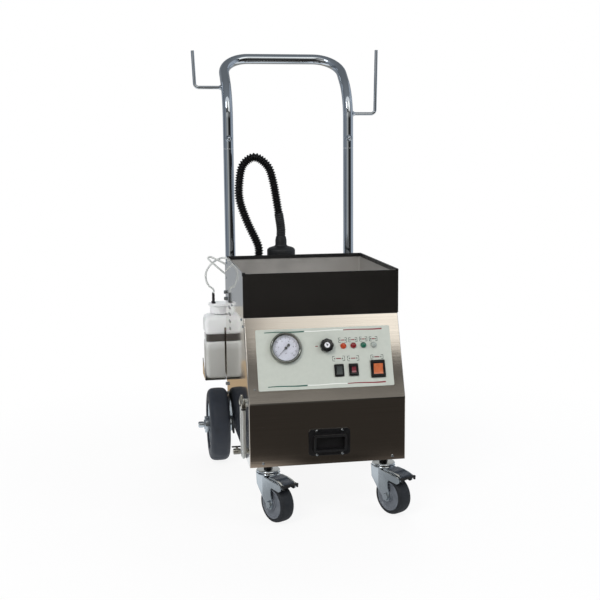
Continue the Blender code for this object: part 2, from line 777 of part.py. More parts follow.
# Braked castors: top plate with its race, a pressed fork, a treaded wheel and a toe pedal
castor_plate_side = 0.060
castor_plate_corner = 0.008
castor_plate_sheet = 0.003
race_radius = 0.028
race_depth = 0.006
kingpin_radius = 0.005
kingpin_head = 0.009
kingpin_head_depth = 0.003
head_radius = 0.026
head_depth = 0.006
saddle_sheet = 0.003
saddle_front = 0.030
saddle_rear = 0.024
fork_sheet = 0.0025
fork_shoulder = 0.0144
fork_eye = 0.0105
fork_leg_rise = 0.012
fork_web = 0.003
fork_nose = 0.0125
castor_hub_radius = 0.031
castor_hub_boss = 0.012
castor_hub_sink = 0.004
castor_bore = 0.0048
axle_bolt_radius = 0.0045
bolt_head_radius = 0.008
bolt_head_length = 0.005
tread_shoulder = 0.006
pedal_pivot_forward = 0.055
pedal_pivot_depth = 0.034
pedal_pin_radius = 0.0025
pedal_tail = 0.034
pedal_tail_depth = 0.0195
pedal_tip_depth = 0.0285
pedal_sheet = 0.003
brake_shoe_front = 0.064
brake_shoe_back = 0.046
brake_shoe_depth = 0.0405
castor_segments = 20

plate_foot = -seat_gap - castor_plate_sheet
race_foot = plate_foot - race_depth
head_top = race_foot - seat_gap
head_foot = head_top - head_depth
saddle_foot = head_foot - saddle_sheet
pin_head_top = saddle_foot - seat_gap
fork_outer = fork_inner + fork_sheet
tread_bore = castor_hub_radius + seat_gap
# The fork's side, in the castor's own frame, as (y, z): it trails towards -Y, with a round
# eye at the axle and a round nose at the pedal's pivot
castor_axle = (-castor_trail, -castor_axle_drop)
pedal_pivot = (-pedal_pivot_forward, -pedal_pivot_depth)
eye_points = arc(castor_axle, fork_eye, (-40, -90, -140))
fork_side = ([(saddle_rear, head_foot), (saddle_rear, head_foot - fork_shoulder)] + eye_points
             + [(eye_points[-1][0], castor_axle[1] + fork_leg_rise),
                (castor_axle[0] - fork_web, pedal_pivot[1] - fork_nose)]
             + arc(pedal_pivot, fork_nose, (-110, -150, 150)) + [(-saddle_front, head_foot)])


def from_pivot(forward, depth):
    """A pedal point as (y, z) from its pivot, so that the pedal turns about its own origin."""
    return (pedal_pivot_forward - forward, pedal_pivot_depth - depth)


pedal_outline = [from_pivot(pedal_tail, pedal_tail_depth),
                 from_pivot(pedal_reach, pedal_tip_depth - pedal_sheet),
                 from_pivot(pedal_reach, pedal_tip_depth),
                 from_pivot(brake_shoe_front, pedal_tip_depth),
                 from_pivot(brake_shoe_front, pedal_pivot_depth),
                 from_pivot(pedal_pivot_forward, brake_shoe_depth - pedal_sheet),
                 from_pivot(brake_shoe_back, pedal_pivot_depth),
                 from_pivot(brake_shoe_back, pedal_tail_depth + 2 * pedal_sheet),
                 from_pivot(pedal_tail, pedal_tail_depth + pedal_sheet)]

for side, name in ((-1, "left"), (1, "right")):
    swivel = empty(f"castor_{name}_swivel", cabinet, (side * castor_side, castor_setback, 0),
                   (0, 0, castor_heading))
    plate = make(f"castor_{name}_plate",
                 lofted([rounded_ring(castor_plate_side, castor_plate_side, castor_plate_corner,
                                      level) for level in (plate_foot, -seat_gap)]),
                 zinc, cabinet, (side * castor_side, castor_setback, 0))
    overlap = castor_plate_sheet / 2
    race = turned([(0, pin_head_top - kingpin_head_depth),
                   (kingpin_head, pin_head_top - kingpin_head_depth),
                   (kingpin_head, pin_head_top), (kingpin_radius, pin_head_top),
                   (kingpin_radius, race_foot), (race_radius, race_foot),
                   (race_radius, plate_foot + overlap), (0, plate_foot + overlap)], 18)
    weld(plate, cutter(f"castor_{name}_race", race, cabinet,
                       (side * castor_side, castor_setback, 0)))

    lap = head_depth / 3
    fork = make(f"castor_{name}_fork",
                block((-fork_outer, -saddle_front, saddle_foot),
                      (fork_outer, saddle_rear, head_foot)), zinc, swivel)
    head = turned([(kingpin_radius + seat_gap, head_foot - lap), (head_radius, head_foot - lap),
                   (head_radius, head_top), (kingpin_radius + seat_gap, head_top)], 20)
    pin_bore = rod(kingpin_radius + seat_gap, saddle_foot - cut_over, head_top + cut_over)
    weld(fork, cutter(f"castor_{name}_head", head, swivel))
    for cheek_name, low, high in (("inner", fork_inner, fork_outer),
                                  ("outer", -fork_outer, -fork_inner)):
        weld(fork, cutter(f"castor_{name}_cheek_{cheek_name}", slab(fork_side, low, high, "X"),
                          swivel))
    bolt = turned([(0, -fork_outer - bolt_head_length),
                   (bolt_head_radius, -fork_outer - bolt_head_length),
                   (bolt_head_radius, -fork_outer + fork_sheet / 2),
                   (axle_bolt_radius, -fork_outer + fork_sheet / 2),
                   (axle_bolt_radius, fork_outer - fork_sheet / 2),
                   (bolt_head_radius, fork_outer - fork_sheet / 2),
                   (bolt_head_radius, fork_outer + bolt_head_length),
                   (0, fork_outer + bolt_head_length)], 16)
    weld(fork, cutter(f"castor_{name}_bolt", bolt, swivel, (0, *castor_axle),
                      (0, math.pi / 2, 0)))
    pivot_hole = rod(pedal_pin_radius + seat_gap, -fork_outer - cut_over, fork_outer + cut_over,
                     12)
    cut(fork, cutter(f"castor_{name}_pin_bore", pin_bore, swivel),
        cutter(f"castor_{name}_pivot_hole", pivot_hole, swivel, (0, *pedal_pivot),
               (0, math.pi / 2, 0)))

    wheel_at = (0, *castor_axle)
    half_tread = castor_width / 2
    make(f"castor_{name}_tread",
         turned([(tread_bore, -half_tread), (castor_wheel_radius - tread_shoulder, -half_tread),
                 (castor_wheel_radius, -half_tread + tread_shoulder),
                 (castor_wheel_radius, half_tread - tread_shoulder),
                 (castor_wheel_radius - tread_shoulder, half_tread), (tread_bore, half_tread)],
                castor_segments),
         castor_rubber, swivel, wheel_at, (0, math.pi / 2, 0))
    boss_half = half_tread + hub_proud
    web_half = half_tread - castor_hub_sink
    make(f"castor_{name}_hub",
         turned([(castor_bore, -boss_half), (castor_hub_boss, -boss_half),
                 (castor_hub_boss, -web_half), (castor_hub_radius - castor_hub_sink, -web_half),
                 (castor_hub_radius, -half_tread), (castor_hub_radius, half_tread),
                 (castor_hub_radius - castor_hub_sink, web_half), (castor_hub_boss, web_half),
                 (castor_hub_boss, boss_half), (castor_bore, boss_half)], castor_segments),
         hub_grey, swivel, wheel_at, (0, math.pi / 2, 0))

    pedal = make(f"castor_{name}_pedal", slab(pedal_outline, -pedal_half, pedal_half, "X"),
                 zinc, swivel, (0, *pedal_pivot))
    pin_half = fork_outer - seat_gap
    weld(pedal, cutter(f"castor_{name}_pedal_pin", rod(pedal_pin_radius, -pin_half, pin_half, 12),
                       swivel, (0, *pedal_pivot), (0, math.pi / 2, 0)))

# Hose inlet on the rear deck: a domed cap with a collar, and a gland for the hose's far end
deck_set_in = 0.0235
inlet_x = -0.028
gland_x = -0.0835
inlet_neck = 0.021
inlet_neck_depth = 0.015
cap_lift = 0.0215
dome_radius = 0.0345
dome_foot_round = 0.002
dome_shoulder = 0.030
dome_top = 0.039
dome_crown_share = 0.75
collar_radius = 0.014
collar_waist = 0.0125
inlet_top = 0.062
gland_body = 0.010
gland_body_depth = 0.014
gland_flange = 0.016
gland_flange_height = 0.004
gland_nut = 0.0135
gland_top = 0.013

deck = deck_height + seat_gap
deck_line = cabinet_depth - deck_set_in
inlet_place = (inlet_x, deck_line)
gland_place = (gland_x, deck_line)


def deck_hole(name, radius, place, segments):
    """A round hole through the rear deck, with as many sides as the piece that fills it."""
    hole = rod(radius + seat_gap, deck_height - sheet - cut_over, deck_height + cut_over, segments)
    cut(rear_panel, cutter(name, hole, cabinet, (*place, 0)))


deck_hole("inlet_hole", inlet_neck, inlet_place, 20)
deck_hole("gland_hole", gland_body, gland_place, 14)
make("hose_inlet_cap",
     turned([(0, deck - inlet_neck_depth), (inlet_neck, deck - inlet_neck_depth),
             (inlet_neck, deck + cap_lift), (dome_radius - dome_foot_round, deck + cap_lift),
             (dome_radius, deck + cap_lift + dome_foot_round), (dome_radius, deck + dome_shoulder),
             (dome_radius * dome_crown_share, deck + (dome_shoulder + dome_top) / 2),
             (collar_radius, deck + dome_top), (collar_radius, deck + (dome_top + inlet_top) / 2),
             (collar_waist, deck + inlet_top), (0, deck + inlet_top)], 20),
     black_plastic, cabinet, (*inlet_place, 0))
make("hose_gland",
     turned([(0, deck - gland_body_depth), (gland_body, deck - gland_body_depth),
             (gland_body, deck), (gland_flange, deck), (gland_flange, deck + gland_flange_height),
             (gland_nut, deck + gland_flange_height), (gland_nut, deck + gland_top),
             (0, deck + gland_top)], 14), black_plastic, cabinet, (*gland_place, 0))

# Corrugated hose: it stands in an arch from the inlet cap to the gland, behind the tray
hose_radius = 0.0105
hose_valley = 0.0085
hose_bore = 0.0062
rib_pitch = 0.0055
bore_spacing = 0.014
hose_straight = 0.0215
hose_start = deck + inlet_top + seat_gap
hose_end = deck + gland_top + seat_gap
hose_y = inlet_place[1]
hose_route = [(inlet_place[0], hose_y, hose_start), (inlet_place[0], hose_y, hose_start + hose_straight),
              (-0.0336, hose_y, 0.4998), (-0.0460, hose_y, 0.5744), (-0.0600, hose_y, 0.6115),
              (-0.0905, hose_y, 0.6315), (-0.1190, hose_y, 0.6121), (-0.1286, hose_y, 0.5680),
              (-0.1273, hose_y, 0.5263), (-0.1108, hose_y, 0.4765), (-0.0900, hose_y, 0.4310),
              (gland_place[0], hose_y, hose_end + hose_straight), (gland_place[0], hose_y, hose_end)]
rib_line, hose_length = smooth_route(hose_route, rib_pitch / 2)
rib_radii = [hose_radius if index % 2 else hose_valley for index in range(len(rib_line))]
hose = make("corrugated_hose",
            tube_mesh("hose_line", rib_line, hose_radius, 2, rib_radii), black_plastic, cabinet)
bore_line, _ = smooth_route(hose_route, bore_spacing)
bore_line[0] -= Vector((0, 0, cut_over))
bore_line[-1] -= Vector((0, 0, cut_over))
cut(hose, cutter("hose_bore", tube_mesh("hose_bore_line", bore_line, hose_bore, 2), cabinet))

apart = [(first - second).length - 2 * hose_radius
         for index, first in enumerate(rib_line)
         for second in rib_line[index + round(6 * hose_radius / rib_pitch * 2):]]
print(f"corrugated hose: length {hose_length:.4f} m, ribs {len(rib_line) // 2}, "
      f"least gap to itself {min(apart) * 1000:.1f} mm")

# Detergent bottle on a bracket behind the left leg, with its cap and two barbs
bottle_set_out = 0.0195
bottle_set_back = 0.0977
bottle_width = 0.088
bottle_depth = 0.075
bottle_foot = 0.065
bottle_corner = 0.014
bottle_waist_height = 0.160
bottle_waist = 0.004
bottle_shoulder = 0.214
bottle_crown = 0.231
bottle_neck_radius = 0.022
bottle_neck_foot = 0.236
bottle_top = 0.262
cap_skirt_radius = 0.0265
cap_lip_radius = 0.031
cap_lip_height = 0.004
cap_foot = 0.2365
cap_top = 0.268
barb_radius = 0.0032
barb_top = 0.285
barb_across = -0.0175
barb_apart = 0.016
corner_steps = 4
bottle_points = 4 * (corner_steps + 1)
bottle_centre = (-leg_side - bottle_set_out, leg_y + bottle_set_back)


def bottle_ring(inset, level):
    return rounded_ring(bottle_width - 2 * inset, bottle_depth - 2 * inset, bottle_corner, level,
                        corner_steps)


bottle_at = (*bottle_centre, 0)
make("detergent_bottle",
     lofted([bottle_ring(2 * bottle_waist, bottle_foot),
             bottle_ring(bottle_waist, bottle_foot + bottle_waist),
             bottle_ring(bottle_waist, bottle_waist_height),
             bottle_ring(0, bottle_waist_height + 2 * bottle_waist),
             bottle_ring(0, bottle_shoulder),
             bottle_ring(2 * bottle_waist, bottle_crown),
             round_ring(bottle_neck_radius, bottle_neck_foot, bottle_points),
             round_ring(bottle_neck_radius, bottle_top, bottle_points)]),
     milky, cabinet, bottle_at)
cap_bore = bottle_neck_radius + seat_gap
bottle_cap = make("bottle_cap",
                  turned([(cap_bore, cap_foot), (cap_skirt_radius, cap_foot),
                          (cap_skirt_radius, cap_top - cap_lip_height),
                          (cap_lip_radius, cap_top - cap_lip_height), (cap_lip_radius, cap_top),
                          (0, cap_top), (0, bottle_top + seat_gap),
                          (cap_bore, bottle_top + seat_gap)], bottle_points),
                  milky, cabinet, bottle_at)
barb_places = [(bottle_centre[0] + barb_across, bottle_centre[1] + side * barb_apart / 2)
               for side in (-1, 1)]
for index, barb_place in enumerate(barb_places):
    barb = rod(barb_radius, cap_top - cap_lip_height / 2, barb_top, 8)
    weld(bottle_cap, cutter(f"barb_{index}", barb, cabinet, (*barb_place, 0)))

# The bottle's bracket: saddle plate on the leg, arms, a shelf with side gussets, and a strap
bracket_sheet = 0.002
saddle_half = 0.014
saddle_low = 0.070
saddle_high = 0.200
arm_width = 0.024
arm_sheet = 0.003
arm_inset = 0.010
gusset_rise = 0.030
strap_low = 0.163
strap_height = 0.019
strap_sheet = 0.0015

saddle_y = leg_y + tube_radius + seat_gap
bottle_front = bottle_centre[1] - bottle_depth / 2
shelf_half = bottle_width / 2 + bracket_sheet + seat_gap
shelf_top = bottle_foot - seat_gap
shelf_foot = shelf_top - bracket_sheet
plate_back = bottle_front - seat_gap
plate_front = plate_back - bracket_sheet
shelf_back = bottle_centre[1] + bottle_depth / 2
shelf_outline = [(plate_front, shelf_foot), (shelf_back, shelf_foot), (shelf_back, shelf_top),
                 (plate_front, shelf_top + gusset_rise)]
bracket = make("bottle_bracket",
               slab(shelf_outline, bottle_centre[0] - shelf_half, bottle_centre[0] + shelf_half,
                    "X"), stainless, cabinet)
bottle_space = block((bottle_centre[0] - shelf_half + bracket_sheet, plate_back, shelf_top),
                     (bottle_centre[0] + shelf_half - bracket_sheet, shelf_back + cut_over,
                      shelf_top + gusset_rise))
cut(bracket, cutter("bracket_space", bottle_space, cabinet))
spine_half = arm_width / 2 + bracket_sheet
spine = block((-leg_side - spine_half, plate_front - bracket_sheet, shelf_top),
              (-leg_side + spine_half, plate_front + bracket_sheet / 2, saddle_high))
weld(bracket, cutter("bracket_spine", spine, cabinet))
for name, height in (("low", saddle_low + arm_inset), ("high", saddle_high - arm_inset)):
    arm = block((-leg_side - arm_width / 2, saddle_y + bracket_sheet / 2, height - arm_sheet / 2),
                (-leg_side + arm_width / 2, plate_front, height + arm_sheet / 2))
    weld(bracket, cutter(f"bracket_arm_{name}", arm, cabinet))
saddle = block((-leg_side - saddle_half, saddle_y, saddle_low),
               (-leg_side + saddle_half, saddle_y + bracket_sheet, saddle_high))
weld(bracket, cutter("bracket_saddle", saddle, cabinet))
strap_inner_width = bottle_width + 2 * seat_gap
strap_inner_depth = bottle_depth + 2 * seat_gap
strap_outer = lofted([rounded_ring(strap_inner_width + 2 * strap_sheet,
                                   strap_inner_depth + 2 * strap_sheet,
                                   bottle_corner + strap_sheet, level, corner_steps)
                      for level in (strap_low, strap_low + strap_height)])
strap_hole = lofted([rounded_ring(strap_inner_width, strap_inner_depth, bottle_corner + seat_gap,
                                  level, corner_steps)
                     for level in (bottle_foot, strap_low + strap_height + cut_over)])
weld(bracket, cutter("bracket_strap", strap_outer, cabinet, bottle_at))
cut(bracket, cutter("strap_hole", strap_hole, cabinet, bottle_at))

# Two milky detergent tubes: one from the bottle over to the deck, one a spare loop
tube_bore_radius = 0.0025
tube_spacing = 0.0125
tube_tuck = 0.004
tube_straight = 0.006
deck_entry_x = -0.143
deck_entry_set_in = 0.0215
back_entry_x = -0.124
back_entry_heights = (0.333, 0.355)
tube_hole = tube_bore_radius + seat_gap
deck_entry = (deck_entry_x, cabinet_depth - deck_entry_set_in)
first_barb = barb_places[0]
feed_route = [(*first_barb, barb_top + seat_gap), (*first_barb, 0.2950),
              (-0.1990, 0.5680, 0.3060), (-0.2060, 0.5650, 0.3250), (-0.2040, 0.5570, 0.3450),
              (-0.1923, 0.5450, 0.3640), (-0.1800, 0.5250, 0.3760), (-0.1720, 0.5050, 0.3820),
              (-0.1680, 0.4850, 0.3850), (-0.1640, 0.4680, 0.3860), (-0.1560, 0.4550, 0.3870),
              (-0.1470, 0.4480, 0.3860), (*deck_entry, deck_height + tube_straight),
              (*deck_entry, deck_height - tube_tuck)]
loop_route = [(back_entry_x, cabinet_depth - tube_tuck, back_entry_heights[0]),
              (back_entry_x, 0.4800, back_entry_heights[0]), (-0.1270, 0.4980, 0.3340),
              (-0.1400, 0.5070, 0.3365), (-0.1600, 0.5070, 0.3423), (-0.1810, 0.5070, 0.3600),
              (-0.2003, 0.5100, 0.3778), (-0.2030, 0.5140, 0.3830), (-0.1990, 0.5150, 0.3855),
              (-0.1908, 0.5150, 0.3826), (-0.1790, 0.5105, 0.3772), (-0.1660, 0.5080, 0.3700),
              (-0.1500, 0.5070, 0.3620), (-0.1320, 0.5050, 0.3565),
              (back_entry_x, 0.4950, back_entry_heights[1]),
              (back_entry_x, 0.4800, back_entry_heights[1]),
              (back_entry_x, cabinet_depth - tube_tuck, back_entry_heights[1])]
for name, route in (("detergent_feed_tube", feed_route), ("detergent_loop_tube", loop_route)):
    line, length = smooth_route(route, tube_spacing)
    make(name, tube_mesh(f"{name}_line", line, tube_bore_radius, 2), milky, cabinet)
    print(f"{name}: length {length:.4f} m")
deck_hole("feed_hole", tube_bore_radius, deck_entry, 12)
for index, height in enumerate(back_entry_heights):
    hole = rod(tube_hole, -cut_over, sheet + cut_over, 12)
    cut(rear_panel, cutter(f"loop_hole_{index}", hole, cabinet,
                           (back_entry_x, cabinet_depth, height), (math.pi / 2, 0, 0)))

# Braided drain hose looped down the left side, and the drain tap beside it
drain_radius = 0.004
drain_out = 0.0095
drain_front = 0.015
drain_rear = 0.050
drain_high = 0.131
drain_low = 0.0155
drain_bend = 0.009
drain_sag = 0.017
drain_steps = 4
tap_place = (0.0625, 0.0180)
tap_nipple = 0.005
tap_body = 0.0065
tap_length = 0.028
stem_radius = 0.0028
stem_rise = 0.0115
stem_set_out = 0.020
lever_half = 0.011
lever_width = 0.005
lever_sheet = 0.0025

drain_x = -half_width - drain_out
drain_line = filleted([(-half_width + sheet + tube_tuck, drain_front, drain_high),
                       (drain_x, drain_front, drain_high), (drain_x, drain_front, drain_low),
                       (drain_x, drain_rear, drain_low), (drain_x, drain_rear, drain_high),
                       (-half_width + sheet + tube_tuck, drain_rear, drain_high)],
                      [drain_bend - seat_gap, drain_sag, drain_sag, drain_bend - seat_gap],
                      drain_steps)
make("drain_hose", tube_mesh("drain_hose_line", drain_line, drain_radius, 2), braid, cabinet)
side_hole_half = sheet + cut_over


def side_hole(name, radius, place):
    """A round hole through the left side panel."""
    hole = rod(radius + seat_gap, -side_hole_half, side_hole_half)
    cut(side_left, cutter(name, hole, cabinet, (-half_width, *place), (0, math.pi / 2, 0)))


side_hole("drain_hole_front", drain_radius, (drain_front, drain_high))
side_hole("drain_hole_rear", drain_radius, (drain_rear, drain_high))
tap_at = (-half_width, *tap_place)
side_hole("tap_hole", tap_nipple, tap_place)
tap = make("drain_valve_body",
           turned([(0, -sheet - tube_tuck), (tap_nipple, -sheet - tube_tuck),
                   (tap_nipple, seat_gap), (tap_body, seat_gap), (tap_body, tap_length),
                   (tap_nipple, tap_length), (0, tap_length)], 12),
           brass, cabinet, tap_at, (0, -math.pi / 2, 0))
stem_at = (tap_at[0] - stem_set_out, *tap_place)
weld(tap, cutter("tap_stem", rod(stem_radius, 0, stem_rise, 8), cabinet, stem_at))
lever_foot = stem_rise + seat_gap
make("drain_valve_lever",
     lofted([rounded_ring(2 * lever_half, lever_width, lever_width / 2 - seat_gap, level)
             for level in (lever_foot, lever_foot + lever_sheet)]),
     black_plastic, cabinet, stem_at)

# Inside the cabinet: boiler with its immersion heater, water tank and pump
boiler_radius = 0.072
boiler_left_gap = 0.0282
boiler_right_gap = 0.0782
boiler_y = 0.215
boiler_height = 0.125
boiler_wall = 0.003
boiler_dome_share = 0.85
boiler_dome = 0.016
heater_port = 0.024
heater_flange = 0.040
heater_flange_sheet = 0.006
heater_rod = 0.008
heater_end_gap = 0.050
heater_cap_radius = 0.022
heater_cap_length = 0.024
foot_width = 0.100
foot_length = 0.030
foot_inset_share = 0.22
tank_side_gap = 0.0132
tank_boiler_gap = 0.043
tank_back_gap = 0.0162
tank_pump_gap = 0.055
tank_height = 0.180
tank_wall = 0.003
pump_side_gap = 0.0682
pump_back_gap = 0.0762
pump_radius = 0.020
pump_length = 0.085
pump_height = 0.034
pump_foot_width = 0.030

boiler_left = -inner_half + boiler_left_gap
boiler_right = inner_half - boiler_right_gap
boiler_inner = boiler_radius - boiler_wall
boiler_outer_profile = [(0, boiler_left), (boiler_inner * boiler_dome_share, boiler_left),
                        (boiler_radius, boiler_left + boiler_dome),
                        (boiler_radius, boiler_right - boiler_dome),
                        (boiler_radius * boiler_dome_share, boiler_right),
                        (heater_port, boiler_right), (heater_port, boiler_right - boiler_wall),
                        (boiler_inner * boiler_dome_share, boiler_right - boiler_wall),
                        (boiler_inner, boiler_right - boiler_dome - boiler_wall),
                        (boiler_inner, boiler_left + boiler_dome + boiler_wall),
                        (boiler_inner * boiler_dome_share, boiler_left + boiler_wall),
                        (0, boiler_left + boiler_wall)]
boiler_at = (0, boiler_y, boiler_height)
boiler = make("boiler", turned(boiler_outer_profile, 16), stainless, cabinet, boiler_at,
              (0, math.pi / 2, 0))
foot_top = boiler_height - math.sqrt((boiler_radius - boiler_wall / 2) ** 2
                                     - (foot_width / 2) ** 2)
boiler_span = boiler_right - boiler_left
for name, share in (("left", foot_inset_share), ("right", 1 - foot_inset_share)):
    foot_middle = boiler_left + boiler_span * share
    outline = [(boiler_y - foot_width / 2, base_sheet + seat_gap),
               (boiler_y + foot_width / 2, base_sheet + seat_gap),
               (boiler_y + foot_width / 2, foot_top), (boiler_y - foot_width / 2, foot_top)]
    foot = cutter(f"boiler_foot_{name}",
                  slab(outline, foot_middle - foot_length / 2, foot_middle + foot_length / 2, "X"),
                  cabinet)
    shell = rod(boiler_radius - boiler_wall / 2, boiler_left - cut_over, boiler_right + cut_over,
                16)
    cut(foot, cutter(f"boiler_foot_cut_{name}", shell, cabinet, boiler_at, (0, math.pi / 2, 0)))
    weld(boiler, foot)
make("boiler_heater",
     turned([(0, boiler_left + heater_end_gap), (heater_rod, boiler_left + heater_end_gap),
             (heater_rod, boiler_right + seat_gap), (heater_flange, boiler_right + seat_gap),
             (heater_flange, boiler_right + heater_flange_sheet),
             (heater_cap_radius, boiler_right + heater_flange_sheet),
             (heater_cap_radius, boiler_right + heater_flange_sheet + heater_cap_length),
             (0, boiler_right + heater_flange_sheet + heater_cap_length)], 14),
     zinc, cabinet, boiler_at, (0, math.pi / 2, 0))

floor = base_sheet + seat_gap
pump_x = inner_half - pump_side_gap
pump_y = inner_back - pump_back_gap
tank_left = -inner_half + tank_side_gap
tank_right = pump_x - pump_radius - tank_pump_gap
tank_front = boiler_y + boiler_radius + tank_boiler_gap
tank_back = inner_back - tank_back_gap
tank = make("water_tank", block((tank_left, tank_front, floor),
                                (tank_right, tank_back, floor + tank_height)), milky, cabinet)
cut(tank, cutter("tank_hollow",
                 block((tank_left + tank_wall, tank_front + tank_wall, floor + tank_wall),
                       (tank_right - tank_wall, tank_back - tank_wall,
                        floor + tank_height + cut_over)), cabinet))
pump = make("water_pump",
            turned([(0, -pump_length / 2), (pump_radius / 3, -pump_length / 2),
                    (pump_radius / 3, -pump_length / 3), (pump_radius, -pump_length / 3),
                    (pump_radius, pump_length / 3), (pump_radius / 3, pump_length / 3),
                    (pump_radius / 3, pump_length / 2), (0, pump_length / 2)], 12),
            black_steel, cabinet, (pump_x, pump_y, pump_height), (math.pi / 2, 0, 0))
pump_foot = block((pump_x - pump_foot_width / 2, pump_y - pump_length / 6, floor),
                  (pump_x + pump_foot_width / 2, pump_y + pump_length / 6, pump_height))
weld(pump, cutter("pump_foot", pump_foot, cabinet))
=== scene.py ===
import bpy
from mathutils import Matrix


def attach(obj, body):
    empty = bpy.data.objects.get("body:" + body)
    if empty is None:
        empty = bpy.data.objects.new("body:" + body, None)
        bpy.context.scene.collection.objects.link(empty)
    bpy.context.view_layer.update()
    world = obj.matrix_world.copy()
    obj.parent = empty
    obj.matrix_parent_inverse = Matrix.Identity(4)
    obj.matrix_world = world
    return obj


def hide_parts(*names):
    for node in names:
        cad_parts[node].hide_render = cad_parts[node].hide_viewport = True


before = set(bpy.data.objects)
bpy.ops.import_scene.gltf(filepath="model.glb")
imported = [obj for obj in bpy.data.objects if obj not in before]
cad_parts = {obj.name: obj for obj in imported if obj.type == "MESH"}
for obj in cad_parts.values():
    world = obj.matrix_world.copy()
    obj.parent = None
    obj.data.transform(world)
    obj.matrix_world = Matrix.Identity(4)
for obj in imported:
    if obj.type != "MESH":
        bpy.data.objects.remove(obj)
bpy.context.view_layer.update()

import math

import bmesh
import bpy
from mathutils import Matrix, Vector

# The camera stands in front of the machine, a little to its left and at hip height, and
# looks slightly down. It was fitted to the photograph's edges.
camera = bpy.data.objects.new("camera", bpy.data.cameras.new("camera"))
bpy.context.collection.objects.link(camera)
bpy.context.scene.camera = camera
camera.data.sensor_width = 36
camera.data.lens = 58.44
camera.matrix_world = (Matrix.Translation((-0.3848, -2.1959, 0.7559))
    @ Matrix.Rotation(math.radians(-9.67), 4, "Z") @ Matrix.Rotation(math.radians(90 - 8.56), 4,
    "X") @ Matrix.Rotation(math.radians(-0.51), 4, "Z"))
bpy.context.scene.view_settings.view_transform = "Standard"


# The steam hose is a corrugated conduit of black polyamide, 22 mm across and blow moulded. Its
# ribs are about 5.5 mm apart, drawn every 6 mm so that they show. It arches over the rear deck
# from the inlet cap's collar to a screwed gland, stiffened at its foot by a ribbed sleeve.
cabinet = Matrix.Translation((0, -0.274622, 0.116))
deck_top = 0.3763
hose_crest, hose_valley, rib_pitch = 0.0111, 0.0074, 0.0060
hose_foot, hose_back = deck_top + 0.0623, 0.4445
hose_route = [(-0.028, hose_back, hose_foot), (-0.028, hose_back, hose_foot + 0.0215),
    (-0.0336, hose_back, 0.4998), (-0.0460, hose_back, 0.5744), (-0.0600, hose_back, 0.6115),
    (-0.0905, hose_back, 0.6315), (-0.1190, hose_back, 0.6121), (-0.1286, hose_back, 0.5680),
    (-0.1273, hose_back, 0.5263), (-0.1108, hose_back, 0.4765), (-0.0900, hose_back, 0.4310),
    (-0.0835, hose_back, deck_top + 0.0348), (-0.0835, hose_back, deck_top + 0.0133)]
sleeve_length, sleeve_radius, sleeve_pitch = 0.058, 0.0115, 0.0054


def srgb(code):
    """A hex colour as the linear numbers that Blender's sockets take."""
    parts = [int(code[index:index + 2], 16) / 255 for index in (1, 3, 5)]
    return (*(part / 12.92 if part <= 0.04045 else ((part + 0.055) / 1.055) ** 2.4
        for part in parts), 1)


def add(tree, kind, inputs=None, **settings):
    """One more node, with its settings, and its inputs set or linked."""
    made = tree.nodes.new("ShaderNode" + kind)
    for name, value in settings.items():
        setattr(made, name, value)
    for socket, value in (inputs or {}).items():
        if isinstance(value, bpy.types.NodeSocket):
            tree.links.new(value, made.inputs[socket])
        else:
            made.inputs[socket].default_value = value
    return made


def blank(name, slot):
    """An empty material, with the record's slot that it finishes, and its node tree."""
    material = bpy.data.materials.new(name)
    material["slot"] = slot
    material.use_nodes = True
    material.node_tree.nodes.clear()
    return material, material.node_tree


def grained(name, slot, dark, light, grain, smooth, rough, relief, **fixed):
    """A moulded, painted or cast finish: its colour and gloss drift over patches a dozen
    grains wide, and the grain itself, given in metres, roughens its surface."""
    material, tree = blank(name, slot)
    place = add(tree, "TexCoord").outputs["Object"]
    patch = add(tree, "TexNoise", {"Vector": place, "Scale": 1 / (12 * grain), "Detail": 4})
    colour = add(tree, "Mix", {0: patch.outputs[0], 6: srgb(dark), 7: srgb(light)},
        data_type="RGBA")
    gloss = add(tree, "MapRange", {"Value": patch.outputs[0], "From Min": 0.35, "From Max": 0.65,
        "To Min": smooth, "To Max": rough})
    fine = add(tree, "TexNoise", {"Vector": place, "Scale": 1 / grain, "Detail": 2})
    bump = add(tree, "Bump", {"Height": fine.outputs[0], "Strength": relief, "Distance": grain / 3})
    values = {name.replace("_", " "): value for name, value in fixed.items()}
    shader = add(tree, "BsdfPrincipled", {"Base Color": colour.outputs[2],
        "Roughness": gloss.outputs[0], "Normal": bump.outputs[0], **values})
    add(tree, "OutputMaterial", {"Surface": shader.outputs[0]})
    return material


def smooth_route(points, spacing):
    """Evenly spaced points on a smooth curve through a route's points, in the cabinet's frame."""
    route = [cabinet @ Vector(point) for point in points]
    route = [2 * route[0] - route[1], *route, 2 * route[-1] - route[-2]]
    fine = []
    for before, start, end, after in zip(route, route[1:], route[2:], route[3:]):
        for step in range(40):
            t = step / 40
            fine.append((2 * start + (end - before) * t + (2 * before - 5 * start
                + 4 * end - after) * t ** 2 + (3 * start - before - 3 * end + after) * t ** 3) / 2)
    fine.append(route[-2])
    reached = [0]
    for start, end in zip(fine, fine[1:]):
        reached.append(reached[-1] + (end - start).length)
    count = round(reached[-1] / spacing)
    evenly, index = [], 0
    for step in range(count + 1):
        target = reached[-1] * step / count
        while index < len(fine) - 2 and reached[index + 1] < target:
            index += 1
        share = (target - reached[index]) / (reached[index + 1] - reached[index])
        evenly.append(fine[index].lerp(fine[index + 1], share))
    return evenly


def round_line(name, line, radii, sides):
    """A curve object along a line, as thick at each point as the radii say."""
    curve = bpy.data.curves.new(name, "CURVE")
    curve.dimensions = "3D"
    curve.bevel_depth = max(radii)
    curve.bevel_resolution = (sides - 4) // 2
    curve.use_fill_caps = True
    spline = curve.splines.new("POLY")
    spline.points.add(len(line) - 1)
    for point, place, radius in zip(spline.points, line, radii):
        point.co = (*place, 1)
        point.radius = radius / max(radii)
    return curve


